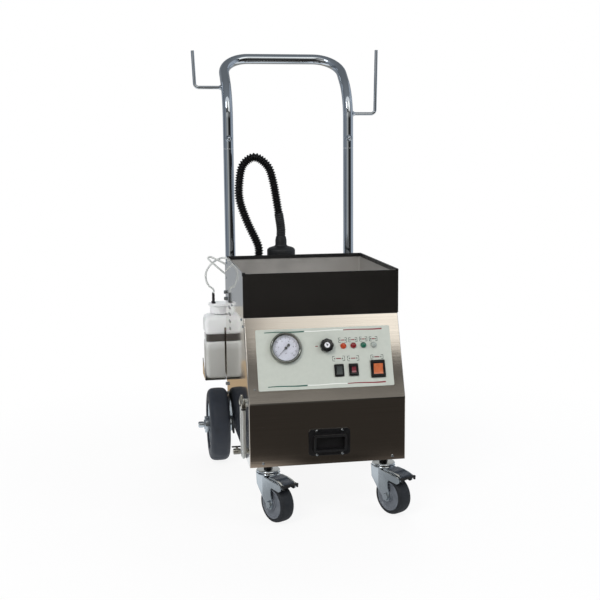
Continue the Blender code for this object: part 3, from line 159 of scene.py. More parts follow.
def ride(name, data, material, body="cleaner", replaces=()):
    """A piece with its material, which rides on a body and stands for CAD nodes."""
    piece = bpy.data.objects.new(name, data)
    bpy.context.collection.objects.link(piece)
    data.materials.append(material)
    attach(piece, body)
    if replaces:
        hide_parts(*replaces)
    return piece


def ribbed(line, crest, valley, pitch, spacing, sharp=0.8):
    """A corrugated tube's radius at each point of its line. Crests are pointed where sharp is
    over 1, and round where it is under 1."""
    waves = [0.5 + 0.5 * math.cos(math.tau * index * spacing / pitch) for index in range(len(line))]
    return [valley + (crest - valley) * wave ** sharp for wave in waves]


# Black polyamide: blow moulded with a faint sheen, so that only the crests catch the light
polyamide = grained("blow moulded black polyamide", "hose_black", "#070708", "#0f0f11", 0.0008,
    0.26, 0.36, 0.08, Specular_IOR_Level=0.35)
sleeve_rubber = grained("moulded black rubber", "hose_black", "#131416", "#1f2123", 0.0006, 0.50,
    0.62, 0.10)
hose_step = rib_pitch / 8
hose_line = smooth_route(hose_route, hose_step)
hose_radii = ribbed(hose_line, hose_crest, hose_valley, rib_pitch, hose_step)
sleeve_line = hose_line[:round(sleeve_length / hose_step)]
hidden = len(sleeve_line) - 6
hose_radii[:hidden] = [hose_valley] * hidden
hose = ride("steam_hose", round_line("steam_hose", hose_line, hose_radii, 20), polyamide,
    replaces=["corrugated_hose"])
sleeve = ride("hose_sleeve", round_line("hose_sleeve", sleeve_line,
    ribbed(sleeve_line, sleeve_radius, sleeve_radius - 0.0014, sleeve_pitch, hose_step), 24),
    sleeve_rubber)

# Two detergent tubes of milky soft polyethylene, 5 mm across: one from the bottle's cap over
# the handle's foot into the rear deck, the other a short spare loop out of the back panel.
tube_radius = 0.0025
first_barb = (-0.1865, 0.5705)
feed_route = [(*first_barb, 0.2853), (*first_barb, 0.2950), (-0.1990, 0.5680, 0.3060),
    (-0.2060, 0.5650, 0.3250), (-0.2040, 0.5570, 0.3450), (-0.1923, 0.5450, 0.3640),
    (-0.1800, 0.5250, 0.3760), (-0.1720, 0.5050, 0.3820), (-0.1680, 0.4850, 0.3850),
    (-0.1640, 0.4680, 0.3860), (-0.1560, 0.4550, 0.3870), (-0.1470, 0.4480, 0.3860),
    (-0.143, 0.4465, 0.382), (-0.143, 0.4465, 0.372)]
loop_route = [(-0.124, 0.4640, 0.333), (-0.124, 0.4800, 0.333), (-0.1270, 0.4980, 0.3340),
    (-0.1400, 0.5070, 0.3365), (-0.1600, 0.5070, 0.3423), (-0.1810, 0.5070, 0.3600),
    (-0.2003, 0.5100, 0.3778), (-0.2030, 0.5140, 0.3830), (-0.1990, 0.5150, 0.3855),
    (-0.1908, 0.5150, 0.3826), (-0.1790, 0.5105, 0.3772), (-0.1660, 0.5080, 0.3700),
    (-0.1500, 0.5070, 0.3620), (-0.1320, 0.5050, 0.3565), (-0.124, 0.4950, 0.355),
    (-0.124, 0.4800, 0.355), (-0.124, 0.4640, 0.355)]
# Soft polyethylene: cloudy through its wall, with a waxy sheen
tube_plastic = grained("extruded milky polyethylene", "milky_plastic", "#c6cac8", "#dfe2e0", 0.002,
    0.30, 0.42, 0.04, Subsurface_Weight=0.3, Subsurface_Radius=(0.004, 0.004, 0.004),
    Subsurface_Scale=1.0)
for name, node, route, length in (("feed_tube", "detergent_feed_tube", feed_route, 0.2250),
        ("spare_tube_loop", "detergent_loop_tube", loop_route, 0.2576)):
    line = smooth_route(route, 0.004)
    tube = ride(name, round_line(name, line, [tube_radius] * len(line), 12), tube_plastic,
        replaces=[node])

# The stage is a pale floor under an even white sky, with a broad lamp, a fill and one behind.
# Studio cards that only reflections see stand round it like a grey room, with a light box and
# a window high in front and a warm strip of floor behind, and give bright metal its bands.
floor_half = 9.0
room_front, room_back, room_half, room_top = -3.0, 2.6, 3.0, 3.6


def stage_grid(name, material, matrix):
    """A flat square of 2 by 2 metres, turned into a floor or card by a matrix."""
    bm = bmesh.new()
    bmesh.ops.create_grid(bm, x_segments=1, y_segments=1, size=1, matrix=matrix)
    mesh = bpy.data.meshes.new(name)
    bm.to_mesh(mesh)
    bm.free()
    mesh.materials.append(material)
    sheet = bpy.data.objects.new(name, mesh)
    bpy.context.collection.objects.link(sheet)
    return sheet


def seen_directly(tree):
    """1 for rays of the camera, and for those that a metal or glass passes on."""
    rays = add(tree, "LightPath").outputs
    either = add(tree, "Math", {0: rays["Is Camera Ray"], 1: rays["Is Glossy Ray"]},
        operation="MAXIMUM")
    return add(tree, "Math", {0: either.outputs[0], 1: rays["Is Transmission Ray"]},
        operation="MAXIMUM").outputs[0]


paper, tree = blank("white studio paper", "stainless")
fibre = add(tree, "TexNoise", {"Vector": add(tree, "TexCoord").outputs["Object"], "Scale": 3})
tone = add(tree, "Mix", {0: fibre.outputs[0], 6: srgb("#eeeeee"), 7: srgb("#f4f4f4")},
    data_type="RGBA")
matte = add(tree, "BsdfDiffuse", {"Color": tone.outputs[2]})
bright = add(tree, "Emission", {"Color": srgb("#ffffff"), "Strength": 1})
away = add(tree, "VectorMath", {0: add(tree, "TexCoord").outputs["Object"]}, operation="LENGTH")
share = add(tree, "MapRange", {"Value": away.outputs["Value"], "From Min": 0.55, "From Max": 1.15,
    "To Min": 0.88, "To Max": 1.0}).outputs[0]
glowing = add(tree, "Math", {0: seen_directly(tree), 1: share}, operation="MULTIPLY")
both = add(tree, "MixShader", {0: glowing.outputs[0], 1: matte.outputs[0], 2: bright.outputs[0]})
add(tree, "OutputMaterial", {"Surface": both.outputs[0]})
stage_grid("floor", paper, Matrix.Diagonal((floor_half, floor_half, 1, 1)))


def studio_card(name, matrix, colour, ramps, fades=()):
    """A card that only shows in reflections. The ramps add light along an axis, each as
    (axis, from, to, at the start, at the end), and fades of that form multiply their sum."""
    material, tree = blank(name, "stainless")
    axes = add(tree, "SeparateXYZ", {0: add(tree, "TexCoord").outputs["Object"]}).outputs
    total = None
    for way, (axis, low, high, first, last) in ([("ADD", ramp) for ramp in ramps]
            + [("MULTIPLY", fade) for fade in fades]):
        ramp = add(tree, "MapRange", {"Value": axes[axis], "From Min": low, "From Max": high,
            "To Min": first, "To Max": last}, interpolation_type="SMOOTHSTEP").outputs[0]
        total = ramp if total is None else add(tree, "Math", {0: total, 1: ramp},
            operation=way).outputs[0]
    glow = add(tree, "Emission", {"Color": srgb(colour), "Strength": total})
    add(tree, "OutputMaterial", {"Surface": glow.outputs[0]})
    sheet = stage_grid(name, material, matrix)
    sheet.visible_camera = sheet.visible_diffuse = sheet.visible_shadow = False
    sheet.visible_transmission = False


def spanning(low, high, turn=Matrix()):
    """The matrix of a card between two corners, which lies flat or is turned upright."""
    low, high = Vector(low), Vector(high)
    half = turn.inverted() @ ((high - low) / 2)
    return (Matrix.Translation((low + high) / 2) @ turn @ Matrix.Diagonal((max(abs(half.x), 0.001),
        max(abs(half.y), 0.001), 1, 1)))


def quarter(axis, way=1):
    """A quarter turn about an axis, one way or the other."""
    return Matrix.Rotation(way * math.pi / 2, 4, axis)


upright = quarter("X")
sideways = quarter("Z") @ upright
studio_card("floor in front", spanning((-room_half, room_front, 0.002), (room_half, -0.67, 0.002)),
    "#fff1e4", [("Y", -0.72, -0.67, 0.036, 0.050)])
studio_card("floor at the foot", spanning((-room_half, -0.67, 0.002), (room_half, -0.45, 0.002)),
    "#fff1e4", [("X", -0.13, 0.04, 0.46, 0.06), ("X", 0.12, 0.26, 0.0, 0.08)],
    [("Y", -0.66, -0.62, 0.12, 1.0)])
# Beside the machine the floor card grows darker towards the cabinet: a painted shadow of the cabinet, seen
# only in reflections
studio_card("floor beside", spanning((-1.2, -0.45, 0.002), (0.8, 0.60, 0.002)), "#f2f6fa",
    [("X", -0.50, -0.12, 0.66, 0.46), ("Y", -0.20, -0.12, 0.0, 0.55)])
studio_card("wall in front", spanning((-room_half, room_front, 0), (room_half, room_front, 1.90),
    upright), "#fbf8f2", [("X", -2.55, -2.10, 0.20, 0.64), ("X", -1.50, -0.90, 0.0, -0.29),
    ("X", -0.60, 0.30, 0.0, -0.28), ("X", 0.45, 1.00, 0.0, -0.05), ("Z", 1.00, 1.50, 0.0, 0.22),
    ("Z", 1.74, 1.83, 0.0, -0.19)])
studio_card("light box in front", spanning((-room_half, room_front, 1.90),
    (room_half, room_front, 3.8), upright), "#fbf8f2", [("X", 0.10, 0.39, 0.15, 1.00),
    ("X", 0.40, 1.00, 0.0, 0.38), ("Z", 2.40, 2.80, 0.0, 0.45)], [("Z", 1.94, 2.06, 0.12, 1.0)])
studio_card("floor behind", spanning((-room_half, 0.60, 0.002), (room_half, room_back, 0.002)),
    "#fffaf0", [("Y", 1.30, 2.40, 0.36, 0.50)])
studio_card("warm floor behind on the left", spanning((-0.48, 0.60, 0.004), (-0.13, 1.30, 0.004)),
    "#e8cba4", [("Y", 0.60, 0.90, 0.48, 0.58)])
studio_card("wall behind", spanning((-room_half, room_back, 0), (room_half, room_back, room_top),
    upright), "#eef4fb", [("Z", 0.0, room_top, 0.42, 0.26)])
studio_card("ceiling", spanning((-room_half, -1.9, room_top), (room_half, room_back, room_top)),
    "#eef4fb", [("Y", -1.9, 2.0, 0.30, 0.22)])
for name, place, ramps in (("left", -room_half, [("Y", -1.60, -0.90, 0.40, 0.33),
        ("Y", -0.40, 0.40, 0.0, -0.15), ("Y", 0.80, 2.20, 0.0, 0.50)]),
        ("right", room_half, [("Y", -2.60, -0.80, 0.03, 0.62)])):
    studio_card(f"wall on the {name}", spanning((place, room_front, 0),
        (place, room_back, room_top), sideways), "#e6eefa", ramps)
window_at = Vector((-1.9, -2.3, 2.7))
studio_card("window high on the left", Matrix.Translation(window_at)
    @ (Vector((0, 0, 0.45)) - window_at).to_track_quat("-Z", "Y").to_matrix().to_4x4()
    @ Matrix.Diagonal((0.40, 0.40, 1, 1)), "#ffffff", [("Z", 0.0, 1.0, 7.0, 7.0)])

world = bpy.data.worlds.new("white studio")
bpy.context.scene.world = world
world.use_nodes = True
world.node_tree.nodes.clear()
tree = world.node_tree
sky_light = add(tree, "Background", {"Color": srgb("#f6f9ff"), "Strength": 0.50})
sky_seen = add(tree, "Background", {"Color": srgb("#ffffff"), "Strength": 1.0})
sky = add(tree, "MixShader", {0: seen_directly(tree), 1: sky_light.outputs[0],
    2: sky_seen.outputs[0]})
add(tree, "OutputWorld", {"Surface": sky.outputs[0]})

for name, place, size, power, colour in (("broad lamp", (-1.7, -2.4, 2.7), 1.5, 62, "#fffaf4"),
        ("fill lamp", (2.3, -1.6, 1.6), 1.4, 22, "#f4f8ff"), ("lamp behind", (0.6, 2.0, 2.6), 1.6,
        34, "#ffffff")):
    lamp = bpy.data.objects.new(name, bpy.data.lights.new(name, "AREA"))
    bpy.context.collection.objects.link(lamp)
    lamp.data.size = size
    lamp.data.energy = power
    lamp.data.color = srgb(colour)[:3]
    lamp.visible_glossy = False
    lamp.location = place
    lamp.rotation_euler = (Vector((0, 0, 0.45)) - lamp.location).to_track_quat("-Z", "Y").to_euler()

# The cabinet is folded from 1.5 mm stainless sheet with a satin rolled finish: one sheet makes
# the lower front, the slope and the tray's front lip, two flat sheets the sides, and a bent
# one the back with its deck and vent slots. Small socket screws hold them together.
half_width, depth, sheet, bend = 0.165, 0.468, 0.0015, 0.0022
kick, slope_run, slope_top, rim, deck = 0.1333, 0.066, 0.3026, 0.3944, 0.376
tray_back, front_lip, return_flange = 0.4095, 0.012, 0.008
both_sides = ((-1, "left"), (1, "right"))
side_front = return_flange + 0.0004


def at(x, y, z, base=cabinet):
    """A place in the cabinet's frame, or in another's."""
    return base @ Matrix.Translation((x, y, z))


panel = (at(0, 0, kick) @ Matrix.Rotation(math.atan2(slope_top - kick, slope_run), 4, "X"))
lower_front = cabinet @ quarter("X")
left_face = at(-half_width, 0, 0) @ quarter("Y", -1)
right_face = at(half_width, 0, 0) @ quarter("Y")


def put(name, bm, material, body="cleaner", place=cabinet, replaces=(), sharp=35):
    """Make a bmesh a piece, with its place in its mesh and its faces outwards."""
    bmesh.ops.transform(bm, matrix=place, verts=bm.verts[:])
    bmesh.ops.recalc_face_normals(bm, faces=bm.faces[:])
    mesh = bpy.data.meshes.new(name)
    bm.to_mesh(mesh)
    bm.free()
    mesh.shade_smooth()
    mesh.set_sharp_from_angle(angle=math.radians(sharp))
    piece = ride(name, mesh, material, body, replaces)
    # Broad faces keep their own direction up to a bend, so that a flat sheet reflects as one
    piece.modifiers.new("face weight", "WEIGHTED_NORMAL").keep_sharp = True
    return piece


def block(low, high, bm=None):
    """A box between two corners, in a new bmesh or added to one."""
    bm = bm or bmesh.new()
    low, high = Vector(low), Vector(high)
    matrix = Matrix.Translation((low + high) / 2) @ Matrix.Diagonal((*(high - low), 1))
    bmesh.ops.create_cube(bm, size=1, matrix=matrix)
    return bm


def rounded(bm, edges, width, segments, **settings):
    """Round edges over with a bevel."""
    bmesh.ops.bevel(bm, geom=edges, offset=width, segments=segments, profile=0.5, affect="EDGES",
        material=-1, **settings)
    return bm


def soften(bm, width, segments=2, angle=30):
    """Round over every edge that is sharper than an angle in degrees."""
    bm.normal_update()
    edges = [edge for edge in bm.edges if len(edge.link_faces) == 2
        and edge.calc_face_angle() > math.radians(angle)]
    return rounded(bm, edges, width, segments, clamp_overlap=True)


def turned(profile, steps=48):
    """A round piece: a profile of (radius, height) points spun about Z."""
    bm = bmesh.new()
    points = [bm.verts.new((radius, 0, height)) for radius, height in profile]
    edges = [bm.edges.new(pair) for pair in zip(points, points[1:])]
    bmesh.ops.spin(bm, geom=points + edges, axis=(0, 0, 1), cent=(0, 0, 0), angle=math.tau,
        steps=steps, use_merge=True)
    bmesh.ops.remove_doubles(bm, verts=bm.verts[:], dist=1e-6)
    return bm


def disc(radius, low, high, steps):
    """A round or many sided slab between two levels."""
    return turned([(0, low), (radius, low), (radius, high), (0, high)], steps)


def corners(items):
    """The vertices among what an operator made."""
    return [item for item in items if isinstance(item, bmesh.types.BMVert)]


def pull(bm, edges, move):
    """Extrude edges and move what they become."""
    pulled = bmesh.ops.extrude_edge_only(bm, edges=edges)["geom"]
    bmesh.ops.translate(bm, vec=move, verts=corners(pulled))


def cut(bm, place, normal, **settings):
    """Cut a whole bmesh along a plane."""
    bmesh.ops.bisect_plane(bm, geom=bm.verts[:] + bm.edges[:] + bm.faces[:], plane_co=place,
        plane_no=normal, **settings)


def outline_sheet(points, low, high):
    """A flat plate along X, of an outline of (y, z) points, between two places."""
    bm = bmesh.new()
    face = bm.faces.new([bm.verts.new((low, y, z)) for y, z in points])
    pulled = bmesh.ops.extrude_face_region(bm, geom=[face])["geom"]
    bmesh.ops.translate(bm, vec=(high - low, 0, 0), verts=corners(pulled))
    bmesh.ops.recalc_face_normals(bm, faces=bm.faces[:])
    return bm


def folded_sheet(line, half, thickness, radius, slots=(), flange=0):
    """A sheet folded along a line of (y, z) points, with round bends, and with slots cut
    through it, each as (half width, low z, high z). A flange folds its upright sides back."""
    bm = bmesh.new()
    points = [bm.verts.new((-half, y, z)) for y, z in line]
    edges = [bm.edges.new(pair) for pair in zip(points, points[1:])]
    pull(bm, edges, (2 * half, 0, 0))
    if flange:
        ends = [edge for edge in bm.edges if abs(edge.verts[0].co.x - edge.verts[1].co.x) < 1e-6
            and abs(edge.verts[0].co.z - edge.verts[1].co.z) > flange]
        pull(bm, ends, (0, flange, 0))
    bends = [edge for edge in bm.edges if len(edge.link_faces) == 2 and edge.calc_face_angle() > 0.1]
    rounded(bm, bends, radius, 4)
    for slot_half, low, high in slots:
        for across in (-slot_half, slot_half):
            cut(bm, (across, 0, 0), (1, 0, 0))
        for level in (low, high):
            cut(bm, (0, 0, level), (0, 0, 1))
    inside = []
    for face in bm.faces:
        middle = face.calc_center_median()
        if any(abs(middle.x) < slot_half and low < middle.z < high
               for slot_half, low, high in slots):
            inside.append(face)
    if inside:
        bmesh.ops.delete(bm, geom=inside, context="FACES")
    bm.normal_update()
    bmesh.ops.solidify(bm, geom=bm.faces[:], thickness=thickness)
    return bm


def satin_steel(name, stretch, dark="#cfc8bf", light="#e2dcd3", smooth=0.09, rough=0.13):
    """Stainless sheet with a rolled satin finish. Its grain runs along one axis, in streaks
    drawn 2 mm wide and a quarter of a metre long, which is coarser than the real polish, so
    that they show; over a hand's width the sheet is slightly wavy."""
    material, tree = blank(name, "stainless")
    place = add(tree, "TexCoord").outputs["Object"]
    along = add(tree, "Mapping", {"Vector": place, "Scale": stretch}).outputs[0]
    streak = add(tree, "TexNoise", {"Vector": along, "Scale": 1, "Detail": 3})
    smear = add(tree, "TexNoise", {"Vector": place, "Scale": 14, "Detail": 3})
    wave = add(tree, "TexNoise", {"Vector": place, "Scale": 7, "Detail": 1})
    colour = add(tree, "Mix", {0: streak.outputs[0], 6: srgb(dark), 7: srgb(light)},
        data_type="RGBA")
    gloss = add(tree, "MapRange", {"Value": smear.outputs[0], "From Min": 0.3, "From Max": 0.7,
        "To Min": smooth, "To Max": rough})
    wavy = add(tree, "Bump", {"Height": wave.outputs[0], "Strength": 0.12, "Distance": 0.004})
    grain = add(tree, "Bump", {"Height": streak.outputs[0], "Strength": 0.04, "Distance": 0.0004,
        "Normal": wavy.outputs[0]})
    shader = add(tree, "BsdfPrincipled", {"Base Color": colour.outputs[2], "Metallic": 1,
        "Roughness": gloss.outputs[0], "Normal": grain.outputs[0]})
    add(tree, "OutputMaterial", {"Surface": shader.outputs[0]})
    return material


steel_across = satin_steel("satin stainless sheet, grain across", (4, 500, 500))
steel_along = satin_steel("polished stainless sheet, grain along", (500, 4, 500), "#c9c6c0",
    "#dcd9d3", 0.05, 0.08)
put("cabinet_front", folded_sheet([(0, 0), (0, kick), (slope_run, slope_top),
    (slope_run + front_lip, slope_top)], half_width, sheet, bend, flange=return_flange),
    steel_across, replaces=["front_panel"])
side_line = [(side_front, 0.0), (side_front, kick), (slope_run + side_front, slope_top - 0.0240),
    (slope_run + side_front, slope_top - 0.0020), (slope_run + front_lip + 0.0003,
    slope_top - 0.0018), (slope_run + front_lip + 0.0003, slope_top + 0.0003),
    (0.0686, slope_top + 0.0003), (0.0686, rim), (tray_back, rim), (tray_back, deck - 0.0018),
    (depth - 0.0018, deck - 0.0018), (depth - 0.0018, 0)]
for side, name in both_sides:
    inner, outer = sorted((side * half_width, side * (half_width - sheet)))
    put(f"cabinet_{name}", soften(outline_sheet(side_line, inner, outer), 0.0003),
        steel_along, replaces=[f"side_panel_{name}"])
put("cabinet_back", folded_sheet([(tray_back + 0.0003, deck), (depth, deck), (depth, 0)],
    half_width, sheet, bend, [(0.030, 0.120 + 0.014 * row, 0.124 + 0.014 * row)
    for row in range(6)]), steel_across, replaces=["rear_panel"])


def socket_screw(radius):
    """A button head with a round socket, which stands on Z = 0."""
    return turned([(0, 0), (radius, 0), (radius, radius * 0.15), (radius * 0.9, radius * 0.38),
        (radius * 0.6, radius * 0.55), (radius * 0.42, radius * 0.58),
        (radius * 0.36, radius * 0.2), (0, radius * 0.2)], 20)


# Zinc plate on small steel parts: a bluish white metal, bright but a little cloudy
zinc = grained("bright zinc plate", "zinc", "#a2a9ae", "#ccd2d6", 0.003, 0.14, 0.26, 0.03,
    Metallic=1)
front_screws = [(-0.137, 0.008), (0.137, 0.008)]
for index, (x, z) in enumerate(front_screws):
    put(f"front_screw_{index}", socket_screw(0.0030), zinc, place=at(x, z, 0, lower_front))
put("slope_rivet", socket_screw(0.0018), zinc, place=at(-0.1506, 0.0305, 0, panel))
side_screws = [(0.0896, 0.2802), (0.1165, 0.2906), (0.3145, 0.2917), (0.440, 0.340), (0.440, 0.030),
    (0.100, 0.020)]
for name, face, way in (("left", left_face, 1), ("right", right_face, -1)):
    for index, (y, z) in enumerate(side_screws):
        put(f"{name}_screw_{index}", socket_screw(0.0030), zinc, place=at(way * z, y, 0, face))
for index, (x, z) in enumerate([(x, z) for x in (-0.108, 0.108) for z in (0.020, 0.220, 0.345)]):
    put(f"back_screw_{index}", socket_screw(0.0030), zinc, place=at(x, depth, z) @ quarter("X", -1))
# Hexagon bolts at each side's back edge hold the cabinet to the handle's brackets
for side, name in both_sides:
    for index, z in enumerate((0.3030, 0.2870, 0.0720, 0.0480)):
        put(f"{name}_edge_bolt_{index}", soften(disc(0.0046, 0.0002, 0.0050, 6), 0.0005), zinc,
            place=at(side * half_width, 0.456, z) @ quarter("Y", side))
# Four pressed louvres near the back edge of each side let the heat out
louvre_y, louvre_length, louvre_height = 0.373, 0.044, 0.0075
for side, name in both_sides:
    louvres = bmesh.new()
    for z in (0.227, 0.244, 0.261, 0.277):
        matrix = (Matrix.Translation((side * (half_width - 0.0002), louvre_y, z))
            @ Matrix.Diagonal((0.0060, louvre_length, louvre_height, 1)))
        bmesh.ops.create_uvsphere(louvres, u_segments=24, v_segments=10, radius=0.5, matrix=matrix)
    cut(louvres, (side * (half_width - 0.0005), 0, 0), (side, 0, 0), clear_inner=True)
    bmesh.ops.holes_fill(louvres, edges=[edge for edge in louvres.edges if edge.is_boundary])
    put(f"{name}_louvres", louvres, steel_along)

# The accessory tray is a stainless tub folded from 1.2 mm sheet, with a gloss black lacquered
# plate across its front. A black U section of soft PVC covers its right and back rims.
tub_front, tub_floor, tub_wall, inner_half = 0.0686, 0.3182, 0.0012, 0.1632
tub = block((-inner_half, tub_front, tub_floor), (inner_half, tray_back, rim))
bmesh.ops.delete(tub, geom=[face for face in tub.faces if face.normal.z > 0.5
    or face.calc_center_median().z > rim - 1e-5], context="FACES_ONLY")
soften(tub, 0.005, 4)
bmesh.ops.recalc_face_normals(tub, faces=tub.faces[:])
bmesh.ops.solidify(tub, geom=tub.faces[:], thickness=tub_wall)
# The tub's inside is a duller, darker steel than the cabinet's sheet, with faint blotches
tub_steel = grained("dull dark stainless sheet", "stainless", "#a3a19e", "#c4c2be", 0.0030, 0.40,
    0.55, 0.05, Metallic=0.55)
put("tray_tub", tub, tub_steel, replaces=["accessory_tray"])
# Black lacquer: sprayed and polished, so deep black with a clear reflection
lacquer = grained("polished black lacquer", "gloss_black", "#1a1917", "#211f1d", 0.004, 0.09, 0.14,
    0.02, Coat_Weight=0.4, Coat_Roughness=0.05)
put("tray_front", soften(block((-0.1663, slope_run, slope_top + 0.0003), (0.1663, 0.068, rim)),
    0.0005), lacquer, replaces=["tray_front_plate"])
edge_out, edge_in, edge_rise, edge_leg, edge_sheet = 0.0016, 0.0042, 0.0010, 0.0070, 0.0012
edging = bmesh.new()
bmesh.ops.create_grid(edging, x_segments=1, y_segments=1, size=1)
edge_middle = (slope_run + tray_back) / 2
bmesh.ops.transform(edging, verts=edging.verts[:], matrix=Matrix.Translation((0, edge_middle, rim
    + edge_rise)) @ Matrix.Diagonal((half_width, (tray_back - slope_run) / 2 + edge_out / 2, 1, 1)))
ring = bmesh.ops.inset_region(edging, faces=edging.faces[:], thickness=edge_in, use_boundary=True)["faces"]
bmesh.ops.delete(edging, context="FACES", geom=[face for face in edging.faces if face not in ring
    or face.calc_center_median().x < edge_in - half_width or face.calc_center_median().y < slope_run
    + edge_in])
inner_edges, outer_edges = [], []
for edge in edging.edges:
    middle, reach = (edge.verts[0].co + edge.verts[1].co) / 2, edge.verts[0].co - edge.verts[1].co
    if edge.is_boundary and min(abs(reach.x), abs(reach.y)) < 1e-6:
        outside = middle.x > half_width - 0.001 or middle.y > tray_back
        (outer_edges if outside else inner_edges).append(edge)
for edges, drop in ((inner_edges, edge_leg), (outer_edges, 0.0045)):
    pull(edging, edges, (0, 0, -drop))
bmesh.ops.recalc_face_normals(edging, faces=edging.faces[:])
if sum(face.normal.z for face in edging.faces) < 0:
    bmesh.ops.reverse_faces(edging, faces=edging.faces[:])
bmesh.ops.solidify(edging, geom=edging.faces[:], thickness=-edge_sheet)
soften(edging, 0.0005, 2, 50)
pvc = grained("extruded black PVC", "black_plastic", "#0e0e0f", "#1b1b1c", 0.0012, 0.34, 0.48, 0.12)
put("tray_edging", edging, pvc)
put("edging_end_cap", soften(block((-0.1672, slope_run - 0.0012, rim - 0.0050),
    (-0.1602, slope_run + 0.0062, rim + 0.0026)), 0.0014, 3), pvc)

# The control label is a printed polycarbonate film on a 1 mm aluminium plate: pale greenish
# grey, with flag coloured strokes along its top and bottom and framed blank fields over each
# lamp and switch.
label_half, label_low, label_high, label_top, ink_top = 0.1432, 0.0265, 0.1546, 0.0013, 0.00136


def plate(width, height, low, high, corner, steps=6):
    """A flat plate with round corners between two levels."""
    bm = block((-width / 2, -height / 2, low), (width / 2, height / 2, high))
    upright_edges = [edge for edge in bm.edges
        if abs(edge.verts[0].co.z - edge.verts[1].co.z) > (high - low) / 2]
    return rounded(bm, upright_edges, corner, steps)


film = grained("printed matt polycarbonate", "label_plate", "#b5bbb2", "#c0c5bc", 0.0007, 0.36,
    0.44, 0.05)
put("control_label", soften(plate(2 * label_half, label_high - label_low, 0.0003, label_top, 0.003),
    0.0003), film, place=at(0, (label_low + label_high) / 2, 0, panel),
    replaces=["control_label_plate"])


def ink(name, colour):
    """Screen printing ink: opaque, slightly uneven and a touch glossier than the film."""
    return grained(name, "label_plate", colour, colour, 0.0010, 0.34, 0.42, 0.04)


inks = {name: ink(f"{name} printing ink", colour) for name, colour in (("green", "#20564a"),
    ("red", "#7e1f2e"), ("pale", "#e8ebe6"), ("dark green", "#2c3b36"), ("black", "#1c1c1e"))}


def stroke(name, colour, left, right, level, thin, thick, sway):
    """A printed stroke that swells to its right end and sways across its line."""
    bm = bmesh.new()
    bmesh.ops.create_grid(bm, x_segments=28, y_segments=1, size=0.5)
    for vert in bm.verts:
        share = vert.co.x + 0.5
        half = (thin + (thick - thin) * share ** 1.4) / 2
        vert.co = (left + (right - left) * share, level + math.copysign(half, vert.co.y)
            + sway * math.sin(math.tau * share), 0)
    bmesh.ops.solidify(bm, geom=bm.faces[:], thickness=ink_top - label_top)
    put(name, bm, inks[colour], place=at(0, 0, ink_top, panel))


for name, level, spans in (("top", 0.1480, ((-0.1246, -0.0407), (0.0432, 0.1262))),
        ("bottom", 0.0346, ((-0.1234, -0.0413), (0.0440, 0.1254)))):
    (green_left, green_right), (red_left, red_right) = spans
    stroke(f"{name}_green_stroke", "green", green_left, green_right, level, 0.0018, 0.0029, 0.0005)
    stroke(f"{name}_pale_stroke", "pale", green_right + 0.001, red_left - 0.001, level + 0.0003,
        0.0016, 0.0016, -0.0006)
    stroke(f"{name}_red_stroke", "red", red_left, red_right, level, 0.0018, 0.0030, 0.0005)


def printed_bars(name, colour, bars):
    """Small printed rectangles, each as (x, y, width, height)."""
    bm = bmesh.new()
    for x, y, width, height in bars:
        block((x - width / 2, y - height / 2, label_top), (x + width / 2, y + height / 2, ink_top), bm)
    put(name, bm, inks[colour], place=panel)


fields = [(0.0400, 0.1264, 0.0175, 0.0096), (0.0620, 0.1264, 0.0180, 0.0090),
    (0.0846, 0.1270, 0.0160, 0.0090), (0.1061, 0.1266, 0.0168, 0.0090),
    (0.0286, 0.0877, 0.0255, 0.0098), (0.0596, 0.0870, 0.0240, 0.0100),
    (0.1108, 0.0878, 0.0262, 0.0086)]
corner_leg, line_width = 0.0046, 0.0010
corner_bars = []
for x, y, width, height in fields:
    for way_x in (-1, 1):
        for way_y in (-1, 1):
            edge_x, edge_y = x + way_x * width / 2, y + way_y * height / 2
            corner_bars.append((edge_x - way_x * corner_leg / 2, edge_y, corner_leg, line_width))
            corner_bars.append((edge_x, edge_y - way_y * corner_leg / 2, line_width, corner_leg))
printed_bars("field_corners", "dark green", corner_bars)
printed_bars("field_marks", "red", [(-0.0163, 0.1155, 0.0055, 0.0019)]
    + [(x, y, width * 0.42, 0.0020) for x, y, width, height in fields])
printed_bars("field_ticks", "dark green", [(x + way * width * 0.33, y, 0.0020, 0.0030) for x, y,
    width, height in fields for way in (-1, 1)])

# The pressure gauge is a bought one of 63 mm class: a deep polished bezel rolled over a flat
# glass, a pale printed aluminium dial from 0 to 10, and a black needle with a round tail.
gauge = at(-0.0815, 0.1140, 0, panel)
dial_level, glass_radius, scale_radius = 0.0026, 0.0267, 0.0243
# Polished stainless and chrome: mirror bright, with only a trace of haze
mirror = grained("polished chrome plate", "chrome", "#b4bcc4", "#cfd6dc", 0.010, 0.05, 0.10, 0.01,
    Metallic=1)
# The bezel's steel is toned darker than polished stainless: a painted dark reflection of its surroundings
bezel_steel = grained("polished stainless ring, darkened as painted reflection", "stainless", "#8b8e88", "#a5a8a2", 0.010, 0.06,
    0.11, 0.01, Metallic=1)
put("gauge_bezel", turned([(0.0268, 0.0020), (0.0268, 0.0070), (0.0279, 0.0085), (0.0292, 0.0095),
    (0.0306, 0.0098), (0.0319, 0.0094), (0.0329, 0.0082), (0.0334, 0.0064), (0.0335, 0.0016),
    (0.0300, 0.0016), (0.0268, 0.0020)], 96), bezel_steel, place=gauge, replaces=["gauge_case"])
dial_print = grained("printed white aluminium", "gauge_dial", "#a8a7b3", "#b2b1bd", 0.0008, 0.38,
    0.46, 0.02)
put("gauge_dial", disc(0.0272, 0.0018, dial_level, 72), dial_print, place=gauge)
marks = bmesh.new()
for step in range(51):
    angle = math.radians(225 - 5.4 * step)
    length, width = (0.0046, 0.0010) if step % 5 == 0 else (0.0024, 0.00045)
    matrix = (Matrix.Rotation(angle, 4, "Z") @ Matrix.Translation((scale_radius - length / 2, 0,
        dial_level)) @ Matrix.Diagonal((length, width, 0.0001, 1)))
    bmesh.ops.create_cube(marks, size=1, matrix=matrix)
